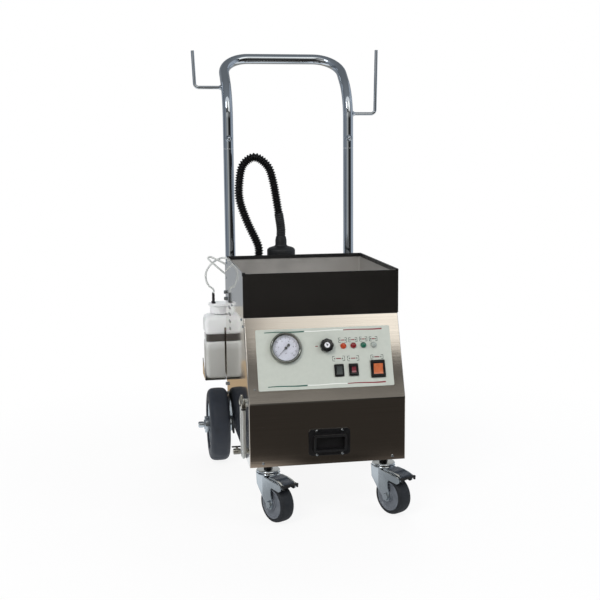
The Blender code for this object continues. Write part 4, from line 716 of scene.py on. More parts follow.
arc_points = [marks.verts.new((radius * math.cos(math.radians(-45)),
    radius * math.sin(math.radians(-45)), dial_level + 0.00005)) for radius in (scale_radius,
    scale_radius + 0.0003)]
bmesh.ops.spin(marks, geom=[marks.edges.new(arc_points), *arc_points], axis=(0, 0, 1),
    cent=(0, 0, 0), angle=math.radians(270), steps=60)


def lettering(bm, text, size, matrix):
    """Add a flat figure to a bmesh, centred on a place."""
    curve = bpy.data.curves.new("figure", "FONT")
    curve.body, curve.size, curve.extrude, curve.resolution_u = text, size, 0.00005, 3
    curve.align_x = curve.align_y = "CENTER"
    guide = bpy.data.objects.new("figure", curve)
    bpy.context.collection.objects.link(guide)
    mesh = bpy.data.meshes.new_from_object(guide)
    before = len(bm.verts)
    bm.from_mesh(mesh)
    bm.verts.ensure_lookup_table()
    bmesh.ops.transform(bm, matrix=matrix, verts=bm.verts[before:])
    bpy.data.objects.remove(guide)


for number in range(0, 11, 2):
    angle = math.radians(225 - 27 * number)
    lettering(marks, str(number), 0.0050, Matrix.Translation((0.0160 * math.cos(angle),
        0.0160 * math.sin(angle), dial_level)))
lettering(marks, "bar", 0.0042, Matrix.Translation((0, -0.0105, dial_level)))
put("gauge_scale", marks, inks["black"], place=gauge)


def stud(bm, sides, foot, tip, depth, matrix):
    """Add a round or angular stud to a bmesh, centred on a place."""
    bmesh.ops.create_cone(bm, cap_ends=True, segments=sides, radius1=foot, radius2=tip, depth=depth,
        matrix=matrix)


needle = turned([(0, 0.0044), (0.0030, 0.0044), (0.0030, 0.0050), (0.0022, 0.0054), (0, 0.0054)], 24)
block((-0.0090, -0.0009, 0.0044), (0.0215, 0.0009, 0.0051), needle)
for vert in needle.verts:
    if vert.co.x > 0.02:
        vert.co.y *= 0.25
stud(needle, 20, 0.0031, 0.0031, 0.0008, Matrix.Translation((-0.0082, 0, 0.0048)))
needle_black = grained("matt black needle paint", "black_plastic", "#0b0b0c", "#141415", 0.0006,
    0.42, 0.50, 0.03)
put("needle", needle, needle_black, body="gauge_needle",
    place=gauge @ Matrix.Rotation(math.radians(225), 4, "Z"), replaces=["gauge_needle"])
# Window glass: clear and flat; shadow rays pass it, so that the dial stays lit
glass, tree = blank("clear gauge glass", "clear_glass")
ripple = add(tree, "TexNoise", {"Vector": add(tree, "TexCoord").outputs["Object"], "Scale": 60})
ripple_bump = add(tree, "Bump", {"Height": ripple.outputs[0], "Strength": 0.01, "Distance": 0.001})
clear = add(tree, "BsdfPrincipled", {"Base Color": srgb("#fbfdfd"), "Roughness": 0.02, "IOR": 1.45,
    "Transmission Weight": 1, "Normal": ripple_bump.outputs[0]})
passed = add(tree, "BsdfTransparent", {"Color": srgb("#f4f8f8")})
both = add(tree, "MixShader", {0: add(tree, "LightPath").outputs["Is Shadow Ray"],
    1: clear.outputs[0], 2: passed.outputs[0]})
add(tree, "OutputMaterial", {"Surface": both.outputs[0]})
put("gauge_window", disc(glass_radius, 0.0060, 0.0069, 72), glass, place=gauge, replaces=["gauge_glass"])

# Four pilot lamps with moulded polycarbonate lenses, orange, red, green and clear: a low
# flange, and a dome with a pressed ring.
lens_profile = [(0, 0.0010), (0.0063, 0.0016), (0.0065, 0.0020), (0.0064, 0.0028), (0.0060, 0.0032),
    (0.0058, 0.0044), (0.0053, 0.0056), (0.0045, 0.0066), (0.0034, 0.0073), (0.0018, 0.0076),
    (0, 0.0077)]


def lens_plastic(name, slot, dark, light, glow):
    """Tinted polycarbonate: glossy, and lit a little from within by its bulb."""
    return grained(name, slot, dark, light, 0.0005, 0.07, 0.14, 0.03, Coat_Weight=0.8,
        Coat_Roughness=0.04, Emission_Color=srgb(light), Emission_Strength=glow,
        Subsurface_Weight=0.2, Subsurface_Radius=(0.004, 0.002, 0.002))


lenses = {"orange": lens_plastic("orange polycarbonate", "orange_lens", "#8f2410", "#c24a1e", 0.04),
    "red": lens_plastic("red polycarbonate", "red_lens", "#5a0610", "#8c0e1a", 0.02),
    "green": lens_plastic("green polycarbonate", "green_lens", "#053d30", "#0b6b52", 0.02),
    "clear": lens_plastic("clear polycarbonate", "clear_glass", "#7d8580", "#b6bdb7", 0.0)}
for index, (colour, material) in enumerate(lenses.items()):
    put(f"pilot_lamp_{colour}", turned(lens_profile, 32), material,
        place=at(0.0405 + 0.0216 * index, 0.1139, 0, panel), replaces=[f"lamp_{colour}"])

# Three rocker switches in moulded black nylon frames. The left rocker is black and ribbed, the
# middle one has a red window and the large right one an orange window over its lamp.
nylon = grained("moulded black nylon", "black_plastic", "#101011", "#1c1c1e", 0.0005, 0.28, 0.38,
    0.08)
ribbed_nylon = grained("moulded dark grey nylon", "black_plastic", "#3a3f3e", "#4f5553", 0.0005,
    0.34, 0.44, 0.08)
switch_y, border, flange_top = 0.0625, 0.0025, 0.0038


def join(bm, extra):
    """Add one bmesh to another."""
    mesh = bpy.data.meshes.new("extra")
    extra.to_mesh(mesh)
    extra.free()
    bm.from_mesh(mesh)


windows = {"red": lens_plastic("red switch window", "red_lens", "#5c2029", "#8a3f49", 0.04),
    "orange": lens_plastic("orange switch window", "orange_lens", "#a54c2b", "#cc7950", 0.08)}
for name, x, width, height, face_width, face_share, face in (("left", 0.0276, 0.020, 0.026, 0.0122,
        0.90, ribbed_nylon), ("middle", 0.0584, 0.020, 0.026, 0.0090, 0.62, windows["red"]),
        ("right", 0.1106, 0.031, 0.037, 0.0196, 0.72, windows["orange"])):
    housing = plate(width, height, 0.0016, flange_top, 0.0016, 4)
    top = [face_up for face_up in housing.faces if face_up.calc_center_median().z > flange_top - 1e-6]
    bmesh.ops.inset_region(housing, faces=top, thickness=border)
    bmesh.ops.translate(housing, vec=(0, 0, -0.0065), verts=top[0].verts[:])
    bmesh.ops.recalc_face_normals(housing, faces=housing.faces[:])
    put(f"switch_housing_{name}", soften(housing, 0.0005, 2, 50), nylon,
        place=at(x, switch_y, 0, panel), replaces=[f"switch_frame_{name}"])
    reach, half = height / 2 - border - 0.0010, width / 2 - border - 0.0003
    curve = [(reach * (share / 6 - 1), 0.0018 + 0.0012 * (share / 6 - 1) ** 2) for share in range(13)]
    rocker = outline_sheet([(-reach * 0.8, -0.0055), (reach * 0.8, -0.0055), (reach, 0)]
        + curve[::-1] + [(-reach, 0)], -half, half)
    at_pivot = (at(x, switch_y, flange_top, panel) @ Matrix.Rotation(math.radians(8), 4, "X"))
    put(f"rocker_body_{name}", soften(rocker, 0.0004), nylon, body=f"rocker_{name}",
        place=at_pivot, replaces=[f"rocker_{name}"])
    cover = outline_sheet([(y * face_share, z - 0.0008) for y, z in curve]
        + [(y * face_share, z + 0.0003) for y, z in curve[::-1]], -face_width / 2, face_width / 2)
    if face is ribbed_nylon:
        for rib in range(-2, 3):
            rib_x = rib * 0.0024
            ridge = outline_sheet([(y * 0.85, z) for y, z in curve]
                + [(y * 0.85, z + 0.0008) for y, z in curve[::-1]], rib_x - 0.0004, rib_x + 0.0004)
            join(cover, ridge)
    put(f"rocker_face_{name}", cover, face, body=f"rocker_{name}", place=at_pivot)

# The steam knob is turned phenolic with eight scallops, on the valve's spindle, and has
# a white cap with a small black pointer.
knob = turned([(0, 0.0026), (0.0140, 0.0026), (0.0144, 0.0032), (0.0144, 0.0118), (0.0140, 0.0128),
    (0.0130, 0.0135), (0.0072, 0.0138), (0.0066, 0.0134), (0, 0.0134)], 120)
for vert in knob.verts:
    radius = math.hypot(vert.co.x, vert.co.y)
    if radius > 0.012:
        swell = 1 + 0.09 * abs(math.cos(4 * math.atan2(vert.co.y, vert.co.x))) - 0.09
        vert.co.x *= swell
        vert.co.y *= swell
phenolic = grained("polished black phenolic", "black_plastic", "#0c0c0d", "#171718", 0.0008, 0.16,
    0.26, 0.04)
at_knob = at(0.0042, 0.1153, 0, panel)
put("knob_grip", knob, phenolic, body="steam_knob", place=at_knob, replaces=["steam_knob"])
white_cap = grained("white nylon cap", "milky_plastic", "#d8d8dc", "#e6e6e9", 0.0008, 0.30, 0.40,
    0.03)
put("knob_cap", turned([(0, 0.0120), (0.0058, 0.0120), (0.0058, 0.0142), (0.0052, 0.0148),
    (0, 0.0150)], 40), white_cap, body="steam_knob", place=at_knob)
pointer = bmesh.new()
stud(pointer, 3, 0.0036, 0.0036, 0.0004, Matrix.Translation((-0.0002, 0.0004, 0.0151))
    @ Matrix.Rotation(math.radians(30), 4, "Z") @ Matrix.Diagonal((0.7, 1, 1, 1)))
put("knob_pointer", pointer, inks["black"], body="steam_knob", place=at_knob)

# The outlet socket is a moulded black nylon housing on the lower front: a screwed flange, a
# hooded collar that leans out at the top, and in its deep mouth a steam nipple beside a grey
# block of electric contacts.
at_socket = at(0.0018, 0.047, 0, lower_front)
put("socket_flange", soften(plate(0.088, 0.057, 0.0003, 0.0033, 0.008, 8), 0.0008), nylon,
    place=at_socket, replaces=["socket_housing"])


def raised(bm, top):
    """Extrude faces to a new level that is still in place: its faces and its vertices."""
    pulled = bmesh.ops.extrude_face_region(bm, geom=top)["geom"]
    bmesh.ops.delete(bm, geom=top, context="FACES_ONLY")
    return [item for item in pulled if isinstance(item, bmesh.types.BMFace)], corners(pulled)


collar = plate(0.070, 0.038, 0.0, 0.0143, 0.006, 6)
mouth = [face for face in collar.faces if face.calc_center_median().z > 0.0142]
bmesh.ops.inset_region(collar, faces=mouth, thickness=0.0053)
for vert in collar.verts:
    if vert.co.z > 0.01:
        vert.co.z += 0.16 * vert.co.y
for vert in raised(collar, mouth)[1]:
    vert.co.z = -0.022
bmesh.ops.recalc_face_normals(collar, faces=collar.faces[:])
put("socket_collar", soften(collar, 0.0008, 2, 40), nylon, place=at_socket)
contact_grey = grained("moulded grey contact block", "hub_grey", "#54565a", "#6d7074", 0.0008, 0.40,
    0.50, 0.05)
contacts = plate(0.0166, 0.0146, -0.0215, -0.0020, 0.0014, 4)
soften(contacts, 0.0004)
for column in (-1, 0, 1):
    for row in (-1, 1):
        stud(contacts, 14, 0.0015, 0.0011, 0.0014, Matrix.Translation((column * 0.0046,
            row * 0.0032, -0.0016)))
put("socket_contacts", contacts, contact_grey, place=at(-0.0147, 0.0006, 0, at_socket))
brass = grained("machined brass", "brass", "#8a6a35", "#b28c4a", 0.0015, 0.22, 0.34, 0.04, Metallic=1)
put("steam_nipple", turned([(0, -0.0215), (0.0062, -0.0215), (0.0062, -0.0120), (0.0048, -0.0112),
    (0.0048, -0.0050), (0.0040, -0.0044), (0.0026, -0.0044), (0.0026, -0.0200), (0, -0.0200)], 28),
    brass, place=at(0.0128, -0.0008, 0, at_socket))
for index, (x, z) in enumerate([(-0.0254, 0.0717), (0.0284, 0.0714), (-0.0251, 0.0213), (0.0289, 0.0218)]):
    put(f"socket_screw_{index}", socket_screw(0.0029), zinc, place=at(x, z, 0.0033, lower_front))

# The push handle is 25 mm steel tube, bent and chrome plated. Two legs are bolted behind the
# cabinet, and the bar slips over their turned down tops and is held by two round headed bolts.
leg_x, leg_y, handle_radius = 0.1495, 0.4808, 0.0125
for side, name in both_sides:
    put(f"handle_tube_{name}", soften(disc(handle_radius, 0.012, 0.652, 48), 0.0003), mirror,
        place=at(side * leg_x, leg_y, 0), replaces=[f"handle_leg_{name}"])


def bent_line(points, radii, steps=14):
    """A line through corners that are rounded to the given radii."""
    line = [Vector(points[0])]
    for corner, before, after, radius in zip(points[1:], points, points[2:], radii):
        corner = Vector(corner)
        inward, onward = (Vector(before) - corner).normalized(), (Vector(after) - corner).normalized()
        half, bisector = inward.angle(onward) / 2, (inward + onward).normalized()
        middle = corner + bisector * radius / math.sin(half)
        spoke = corner + inward * radius / math.tan(half) - middle
        axis = spoke.cross(bisector).normalized()
        for step in range(steps + 1):
            line.append(middle + Matrix.Rotation(-(math.pi - 2 * half) * step / steps, 3, axis) @ spoke)
    line.append(Vector(points[-1]))
    return line


def bent_rod(line, radius, sides):
    """A bmesh of a round rod or tube along a line, with closed ends."""
    curve = round_line("rod", line, [radius] * len(line), sides)
    guide = bpy.data.objects.new("rod", curve)
    bpy.context.collection.objects.link(guide)
    bm = bmesh.new()
    bm.from_mesh(bpy.data.meshes.new_from_object(guide))
    bmesh.ops.remove_doubles(bm, verts=bm.verts[:], dist=1e-6)
    bpy.data.objects.remove(guide)
    return bm


bar_foot, knee, top, top_y = 0.6523, 0.781, 0.8786, 0.60572
put("handle_top", soften(bent_rod(bent_line([(-leg_x, leg_y, bar_foot), (-leg_x, leg_y, knee),
    (-leg_x, top_y, top), (leg_x, top_y, top), (leg_x, leg_y, knee), (leg_x, leg_y, bar_foot)],
    [0.117, 0.066, 0.066, 0.117]), handle_radius, 32), 0.0003, 2, 60), mirror,
    replaces=["handle_bar"])
for side, name in both_sides:
    put(f"handle_bolt_{name}", turned([(0, -0.003), (0.0078, -0.003), (0.0078, 0.0010),
        (0.0070, 0.0018), (0.0060, 0.0012), (0.0056, 0.0026), (0.0044, 0.0044), (0.0024, 0.0054),
        (0, 0.0057)], 32), mirror, place=at(side * leg_x, leg_y - handle_radius, 0.677)
        @ quarter("X"))
    for index, z in enumerate((0.045, 0.340)):
        put(f"leg_bolt_{name}_{index}", soften(disc(0.0075, -0.002, 0.0050, 6), 0.0006), zinc,
            place=at(side * leg_x, leg_y + handle_radius, z) @ quarter("X", -1))

# Two hooks of 8 mm rod, bent and chromed with the handle, hang the hose and the lead. Each is
# welded to the handle's side, and the weld leaves a small flare.
for name, side, z, y, elbow, tip_x, tip_z in (("left", -1, 0.801, 0.50976, 0.226, 0.2297, 0.8885),
        ("right", 1, 0.736, 0.48140, 0.218, 0.221, 0.8905)):
    root = leg_x + handle_radius - 0.0008
    rod = bent_rod(bent_line([(side * root, y, z), (side * elbow, y, z), (side * tip_x, y, tip_z)],
        [0.010], 10), 0.004, 20)
    put(f"hook_rod_{name}", soften(rod, 0.0014, 3, 60), mirror, replaces=[f"hook_{name}"])
    put(f"hook_weld_{name}", turned([(0, -0.0014), (0.0072, -0.0014), (0.0064, 0.0008),
        (0.0052, 0.0026), (0.0043, 0.0048), (0, 0.0050)], 28), mirror,
        place=at(side * (root + 0.0008), y, z) @ quarter("Y", side))

# The rear wheels run on a zinc plated axle in a black channel under the cabinet. Each has a
# solid blue grey rubber tyre with round shoulders on a pressed, zinc plated steel rim.
wheel_x, wheel_y, wheel_z = 0.1925, 0.441, -0.026
half_axle = [(0, -0.242), (0.0052, -0.242), (0.0070, -0.2408), (0.0078, -0.2385), (0.0078, -0.2300),
    (0.0066, -0.2296), (0.0066, -0.2284), (0.0080, -0.2280)]


def mirrored(profile):
    """A turned piece's whole profile, from one half of it."""
    return profile + [(radius, -along) for radius, along in profile[::-1]]


put("axle_rod", turned(mirrored(half_axle), 40), zinc, place=at(0, wheel_y, wheel_z)
    @ quarter("Y"), replaces=["rear_axle"])
# Tyre rubber: matt, with a faint bloom that turns it blue grey
tyre_rubber = grained("blue grey tyre rubber", "tyre_rubber", "#1c2027", "#2f3540", 0.0020, 0.52,
    0.70, 0.16)
half_tyre = [(0.0612, 0.0228), (0.0625, 0.0240), (0.0660, 0.0245), (0.0740, 0.0244),
    (0.0790, 0.0237), (0.0832, 0.0220), (0.0866, 0.0190), (0.0886, 0.0152), (0.0896, 0.0104),
    (0.0900, 0.0050)]
rim_line = [(0.0083, 0.0335), (0.0196, 0.0335), (0.0205, 0.0325), (0.0205, 0.0060),
    (0.0215, 0.0035), (0.0240, 0.0025), (0.0480, 0.0025), (0.0535, 0.0045), (0.0562, 0.0090),
    (0.0568, 0.0170), (0.0575, 0.0192), (0.0592, 0.0200), (0.0606, 0.0192)]
rim_back = [(0.0606, -0.0192), (0.0592, -0.0200), (0.0575, -0.0192), (0.0568, -0.0170),
    (0.0562, -0.0090), (0.0535, -0.0045), (0.0480, -0.0025), (0.0240, -0.0025), (0.0205, -0.0035),
    (0.0190, -0.0060), (0.0190, -0.0320), (0.0180, -0.033), (0.0083, -0.033)]
for side, name in both_sides:
    facing = (at(side * wheel_x, wheel_y, wheel_z) @ quarter("Y", side))
    tyre = mirrored(half_tyre)
    put(f"tyre_{name}", turned(tyre + tyre[:1], 96), tyre_rubber, body=f"rear_wheel_{name}",
        place=facing, replaces=[f"wheel_tyre_{name}"])
    put(f"rim_{name}", turned(rim_line + rim_back + rim_line[:1], 96), zinc,
        body=f"rear_wheel_{name}", place=facing, replaces=[f"wheel_rim_{name}"])
    put(f"axle_washer_{name}", soften(turned([(0.0081, 0.0338), (0.0120, 0.0338), (0.0120, 0.0352),
        (0.0081, 0.0352), (0.0081, 0.0338)], 40), 0.0003), zinc, place=facing)

# Each castor has a zinc plated race disc under the nut of its kingpin, a fork pressed from
# 2.4 mm sheet with folded flanges, a grey nylon wheel with a dark rubber tread, and a toe pedal
# that presses a black block on the tread. The fork is turned 28 degrees, as it was left.
castor_rubber = grained("dark grey tread rubber", "castor_rubber", "#15181c", "#262a2f", 0.0016,
    0.50, 0.66, 0.14)
hub_nylon = grained("moulded grey nylon", "hub_grey", "#5e636b", "#7b8189", 0.0012, 0.38, 0.48, 0.05)
pad_plastic = grained("moulded slate nylon", "hub_grey", "#3b4047", "#525860", 0.0007, 0.40, 0.52,
    0.10)
steel_black = grained("black painted steel", "black_steel", "#0e0e0f", "#1a1a1b", 0.0012, 0.34,
    0.48, 0.10, Metallic=0.0)
fork_inner, fork_outer, fork_top, head_top = 0.0178, 0.0203, -0.0184, -0.0157
axle_at, pivot_at = (-0.031, -0.076), (-0.055, -0.034)
crease, crease_slope = -0.0060, 0.17


def arc(middle, radius, first, last, steps):
    """Points on a circle between two angles in degrees, as (y, z) pairs."""
    angles = [math.radians(first + (last - first) * step / steps) for step in range(steps + 1)]
    return [(middle[0] + radius * math.cos(angle), middle[1] + radius * math.sin(angle))
        for angle in angles]


cheek_line = ([(0.0240, fork_top), (0.0212, -0.0450)] + arc(axle_at, 0.0105, -32, -175, 12)
    + [(-0.0385, -0.0650), (-0.0350, -0.0560), (-0.0345, -0.0440), (-0.0375, -0.0390),
    (-0.0625, -0.0415), (-0.0672, -0.0385), (-0.0692, -0.0320), (-0.0690, -0.0262),
    (-0.0140, -0.0212), (-0.0130, fork_top)])


def pressed_cheek(side):
    """One side of the fork, a sheet whose top, rear and front edges are folded inwards."""
    bm = bmesh.new()
    face = bm.faces.new([bm.verts.new((side * fork_outer, y, z)) for y, z in cheek_line])
    bm.normal_update()
    if face.normal.x * side < 0:
        bmesh.ops.reverse_faces(bm, faces=[face])
    cut(bm, (0, crease, 0), (0, 1, 0))
    folds = {"top": [], "rear": [], "arm": []}
    for edge in [edge for edge in bm.edges if edge.is_boundary]:
        (y_a, z_a), (y_b, z_b) = [(vert.co.y, vert.co.z) for vert in edge.verts]
        if min(z_a, z_b) > fork_top - 1e-5:
            folds["top"].append(edge)
        elif min(y_a, y_b) > -0.0222 and min(z_a, z_b) < -0.0200:
            folds["rear"].append(edge)
        elif max(z_a, z_b) > -0.0222 and min(y_a, y_b) < -0.0600:
            folds["arm"].append(edge)
    for name, reach in (("top", fork_outer - 0.0002), ("rear", 0.0085), ("arm", 0.0024)):
        pull(bm, folds[name], (-side * reach, 0, 0))
    bends = [edge for edge in bm.edges if len(edge.link_faces) == 2 and edge.calc_face_angle() > 0.1
        and all(abs(vert.co.x) > fork_outer - 1e-6 for vert in edge.verts)]
    rounded(bm, bends, 0.0016, 3)
    bm.normal_update()
    bmesh.ops.solidify(bm, geom=bm.faces[:], thickness=0.0024)
    for vert in bm.verts:
        vert.co.x *= 1 - max(vert.co.y - crease, 0) * crease_slope / fork_outer
    return bm


castor_tread = [(0.0313, 0.0150), (0.0318, 0.0158), (0.0340, 0.0160), (0.0362, 0.0154),
    (0.0380, 0.0138), (0.0392, 0.0114), (0.0398, 0.0084), (0.0400, 0.0050)]
hub_line = [(0.0048, 0.017), (0.0112, 0.017), (0.0120, 0.0162), (0.0122, 0.0130), (0.0135, 0.0121),
    (0.0245, 0.0120), (0.0262, 0.0128), (0.0272, 0.0142), (0.0282, 0.0155), (0.0296, 0.0160),
    (0.0310, 0.0157)]
for side, name in both_sides:
    pin = at(side * 0.124, 0.024, 0)
    swivel = pin @ Matrix.Rotation(math.radians(28), 4, "Z")
    fork_body, wheel_body, brake_body = (f"castor_{kind}_{name}" for kind in ("swivel", "wheel", "brake"))
    put(f"castor_{name}_kingpin", disc(0.0078, -0.0003, -0.0100, 32), zinc, place=pin,
        replaces=[f"castor_{name}_plate"])
    put(f"castor_{name}_race", turned([(0, -0.0098), (0.0120, -0.0098), (0.0150, -0.0104),
        (0.0210, -0.0106), (0.0235, -0.0112), (0.0245, -0.0126), (0.0245, -0.0148), (0, -0.0148)],
        56), zinc, place=pin)
    put(f"castor_{name}_pin_nut", soften(disc(0.0096, -0.0034, -0.0100, 6), 0.0008), steel_black, place=pin)
    put(f"castor_{name}_head", turned([(0, head_top), (0.0225, head_top), (0.0246, -0.0162),
        (0.0252, -0.0172), (0.0250, -0.0186), (0.0230, -0.0194), (0, -0.0194)], 56), zinc,
        body=fork_body, place=swivel, replaces=[f"castor_{name}_fork"])
    for way, cheek in ((-1, "outer"), (1, "inner")):
        put(f"castor_{name}_cheek_{cheek}", pressed_cheek(way), zinc, body=fork_body, place=swivel,
            sharp=7)
        bolt = disc(0.0094, fork_outer - 0.0020, fork_outer + 0.0010, 28)
        stud(bolt, 6, 0.0080, 0.0080, 0.0038, Matrix.Translation((0, 0, fork_outer + 0.0029)))
        stud(bolt, 16, 0.0040, 0.0034, 0.0014, Matrix.Translation((0, 0, fork_outer + 0.0043)))
        at_axle = at(0, *axle_at, swivel) @ quarter("Y", way)
        put(f"castor_{name}_nut_{cheek}", soften(bolt, 0.0004), zinc, body=fork_body, place=at_axle)
    at_wheel = at(0, *axle_at, swivel) @ quarter("Y")
    tread = mirrored(castor_tread)
    put(f"castor_{name}_tyre", turned(tread + tread[:1], 72), castor_rubber, body=wheel_body,
        place=at_wheel, replaces=[f"castor_{name}_tread"])
    hub = mirrored(hub_line)
    put(f"castor_{name}_wheel_disc", turned(hub + hub[:1], 72), hub_nylon, body=wheel_body,
        place=at_wheel, replaces=[f"castor_{name}_hub"])
    at_pedal = at(0, *pivot_at, swivel)
    rail_line = [(0.0290, 0.0132), (0.0290, 0.0104), (0.0090, 0.0010), (-0.0050, -0.0035),
        (-0.0155, -0.0005), (-0.0165, 0.0062), (-0.0050, 0.0096), (0.0090, 0.0118)]
    flange_line = [(0.0290, 0.0150), (0.0090, 0.0142), (-0.0050, 0.0120), (-0.0165, 0.0086),
        (-0.0165, 0.0072), (-0.0050, 0.0106), (0.0090, 0.0128), (0.0290, 0.0136)]
    rails = bmesh.new()
    for way in (-1, 1):
        for line, low, high in ((rail_line, 0.0157, 0.0175), (flange_line, 0.0134, 0.0176)):
            join(rails, soften(outline_sheet(line, *sorted((way * low, way * high))), 0.0004))
    stud(rails, 20, 0.0025, 0.0025, 0.0400, quarter("Y"))
    put(f"castor_{name}_pedal_rails", rails, zinc, body=brake_body, place=at_pedal,
        replaces=[f"castor_{name}_pedal"])
    pads = block((-0.0136, 0.0054, 0.0080), (0.0136, 0.0270, 0.0156))
    block((-0.0136, -0.0160, 0.0030), (0.0136, 0.0048, 0.0116), pads)
    for groove in range(4):
        y = -0.0140 + 0.0044 * groove
        block((-0.0120, y, 0.0110), (0.0120, y + 0.0018, 0.0122), pads)
    put(f"castor_{name}_pedal_pads", soften(pads, 0.0007), pad_plastic, body=brake_body, place=at_pedal)
    toe = block((-0.0200, -0.0232, 0.0040), (0.0200, -0.0172, 0.0080))
    for way in (-1, 1):
        block((way * 0.0178 - 0.0017, -0.0232, -0.0005), (way * 0.0178 + 0.0017, -0.0185, 0.0046), toe)
    put(f"castor_{name}_toe_bar", soften(toe, 0.0010, 3), steel_black, body=brake_body, place=at_pedal)
    shoe = outline_sheet([(-0.0090, 0.0040), (-0.0090, -0.0010), (-0.0030, -0.0062),
        (0.0040, -0.0062), (0.0090, -0.0010), (0.0090, 0.0040)], -0.0130, 0.0130)
    put(f"castor_{name}_brake_block", soften(shoe, 0.0010, 2, 20), steel_black, body=brake_body,
        place=at_pedal)

# On the rear deck a black moulded cap closes the water inlet and carries the hose on its
# collar. The hose's far end goes into a screwed gland of the same nylon.
soft_black = grained("matt black polypropylene", "black_plastic", "#131415", "#212325", 0.0009,
    0.46, 0.58, 0.10)
at_inlet = at(-0.028, hose_back, deck_top)
put("inlet_cap", turned([(0, -0.0150), (0.0210, -0.0150), (0.0210, 0.0002), (0.0335, 0.0002),
    (0.0345, 0.0012), (0.0345, 0.0230), (0.0345, 0.0262), (0.0345, 0.0280), (0.0340, 0.0305),
    (0.0325, 0.0328), (0.0298, 0.0347), (0.0262, 0.0361), (0.0220, 0.0373), (0.0185, 0.0383),
    (0.0160, 0.0394), (0.0146, 0.0410), (0.0140, 0.0430), (0.0140, 0.0500), (0.0138, 0.0545),
    (0.0130, 0.0570), (0.0127, 0.0600), (0.0122, 0.0620), (0, 0.0620)], 64), soft_black,
    place=at_inlet, replaces=["hose_inlet_cap"])
at_gland = at(-0.0835, hose_back, deck_top)
gland = soften(turned([(0, 0.0040), (0.0135, 0.0040), (0.0135, 0.0120), (0.0118, 0.0130),
    (0, 0.0130)], 8), 0.0005)
put("gland_nut", gland, nylon, place=at_gland, replaces=["hose_gland"])
put("gland_flange", soften(turned([(0, -0.0140), (0.0100, -0.0140), (0.0100, 0.0), (0.0160, 0.0),
    (0.0160, 0.0040), (0, 0.0040)], 40), 0.0006), nylon, place=at_gland)
put("tube_grommet", soften(disc(0.0052, -0.0012, 0.0022, 28), 0.0008), pvc,
    place=at(-0.143, 0.4465, deck))

# The detergent bottle is blow moulded in milky polyethylene, a rounded square with a slightly
# narrower waist under the strap, and half full, which shows as a darker tone low down. Its
# flat cap has a thin lip and two dark barbs.
bottle_y, bottle_width, bottle_depth = 0.5785, 0.088, 0.075
bottle_at = at(-0.169, bottle_y, 0)
bottle = plate(bottle_width - 0.016, bottle_depth - 0.016, 0.065, 0.0655, 0.0100, 8)
top = [face for face in bottle.faces if face.normal.z > 0.9 and face.calc_center_median().z > 0.06525]
grown = 0.008
for level, inset in ((0.0662, 0.0048), (0.0680, 0.0030), (0.0720, 0.0022), (0.1100, 0.0014),
        (0.1560, 0.0012), (0.1600, 0.0020), (0.1622, 0.0042), (0.1828, 0.0042), (0.1850, 0.0016),
        (0.1880, 0.0), (0.2100, 0.0), (0.2180, 0.0008), (0.2240, 0.0034), (0.2275, 0.0080),
        (0.2295, 0.0150), (0.2308, 0.0205)):
    top, rings = raised(bottle, top)
    shrink = Matrix.Diagonal(((bottle_width - 2 * inset) / (bottle_width - 2 * grown),
        (bottle_depth - 2 * inset) / (bottle_depth - 2 * grown), 1, 1))
    bmesh.ops.transform(bottle, matrix=shrink, verts=rings)
    for vert in rings:
        vert.co.z = level
    grown = inset
for level in (0.2325, 0.2530):
    top, rings = raised(bottle, top)
    for vert in rings:
        across = Vector((vert.co.x, vert.co.y)).normalized() * 0.022
        vert.co = (across.x, across.y, level)
milky, tree = blank("blow moulded milky polyethylene", "milky_plastic")
place = add(tree, "TexCoord").outputs["Object"]
height = add(tree, "SeparateXYZ", {0: place}).outputs["Z"]
cloud = add(tree, "TexNoise", {"Vector": place, "Scale": 35, "Detail": 3}).outputs[0]
sway = add(tree, "Math", {0: cloud, 1: 0.012}, operation="MULTIPLY").outputs[0]
level = add(tree, "Math", {0: height, 1: sway}).outputs[0]
filled = add(tree, "MapRange", {"Value": level, "From Min": 0.262, "From Max": 0.300, "To Min": 0,
    "To Max": 1}).outputs[0]
tone = add(tree, "Mix", {0: filled, 6: srgb("#c3c4c0"), 7: srgb("#f4f7f7")}, data_type="RGBA")
dimple = add(tree, "TexNoise", {"Vector": place, "Scale": 260, "Detail": 2}).outputs[0]
dimples = add(tree, "Bump", {"Height": dimple, "Strength": 0.08, "Distance": 0.001})
waxy = add(tree, "MapRange", {"Value": cloud, "To Min": 0.30, "To Max": 0.44}).outputs[0]
shader = add(tree, "BsdfPrincipled", {"Base Color": tone.outputs[2], "Roughness": waxy,
    "Subsurface Weight": 0.35, "Subsurface Scale": 1.0, "Subsurface Radius": (0.010, 0.011, 0.010),
    "Normal": dimples.outputs[0]})
add(tree, "OutputMaterial", {"Surface": shader.outputs[0]})
put("bottle_body", bottle, milky, place=bottle_at, replaces=["detergent_bottle"], sharp=50)
put("bottle_lid", turned([(0.0223, 0.2330), (0.0270, 0.2330), (0.0270, 0.2520), (0.0280, 0.2530),
    (0.0306, 0.2534), (0.0310, 0.2541), (0.0310, 0.2574), (0.0302, 0.2585), (0, 0.2585),
    (0, 0.2533), (0.0223, 0.2533), (0.0223, 0.2330)], 64), milky, place=bottle_at,
    replaces=["bottle_cap"])
for index, y in enumerate((-0.008, 0.008)):
    put(f"bottle_barb_{index}", turned([(0, 0.2570), (0.0050, 0.2570), (0.0050, 0.2618),
        (0.0030, 0.2628), (0.0030, 0.2690), (0.0032, 0.2696), (0.0026, 0.2765), (0.0032, 0.2771),
        (0.0026, 0.2845), (0.0018, 0.2850), (0, 0.2850)], 20), soft_black,
        place=at(-0.0175, y, 0, bottle_at))

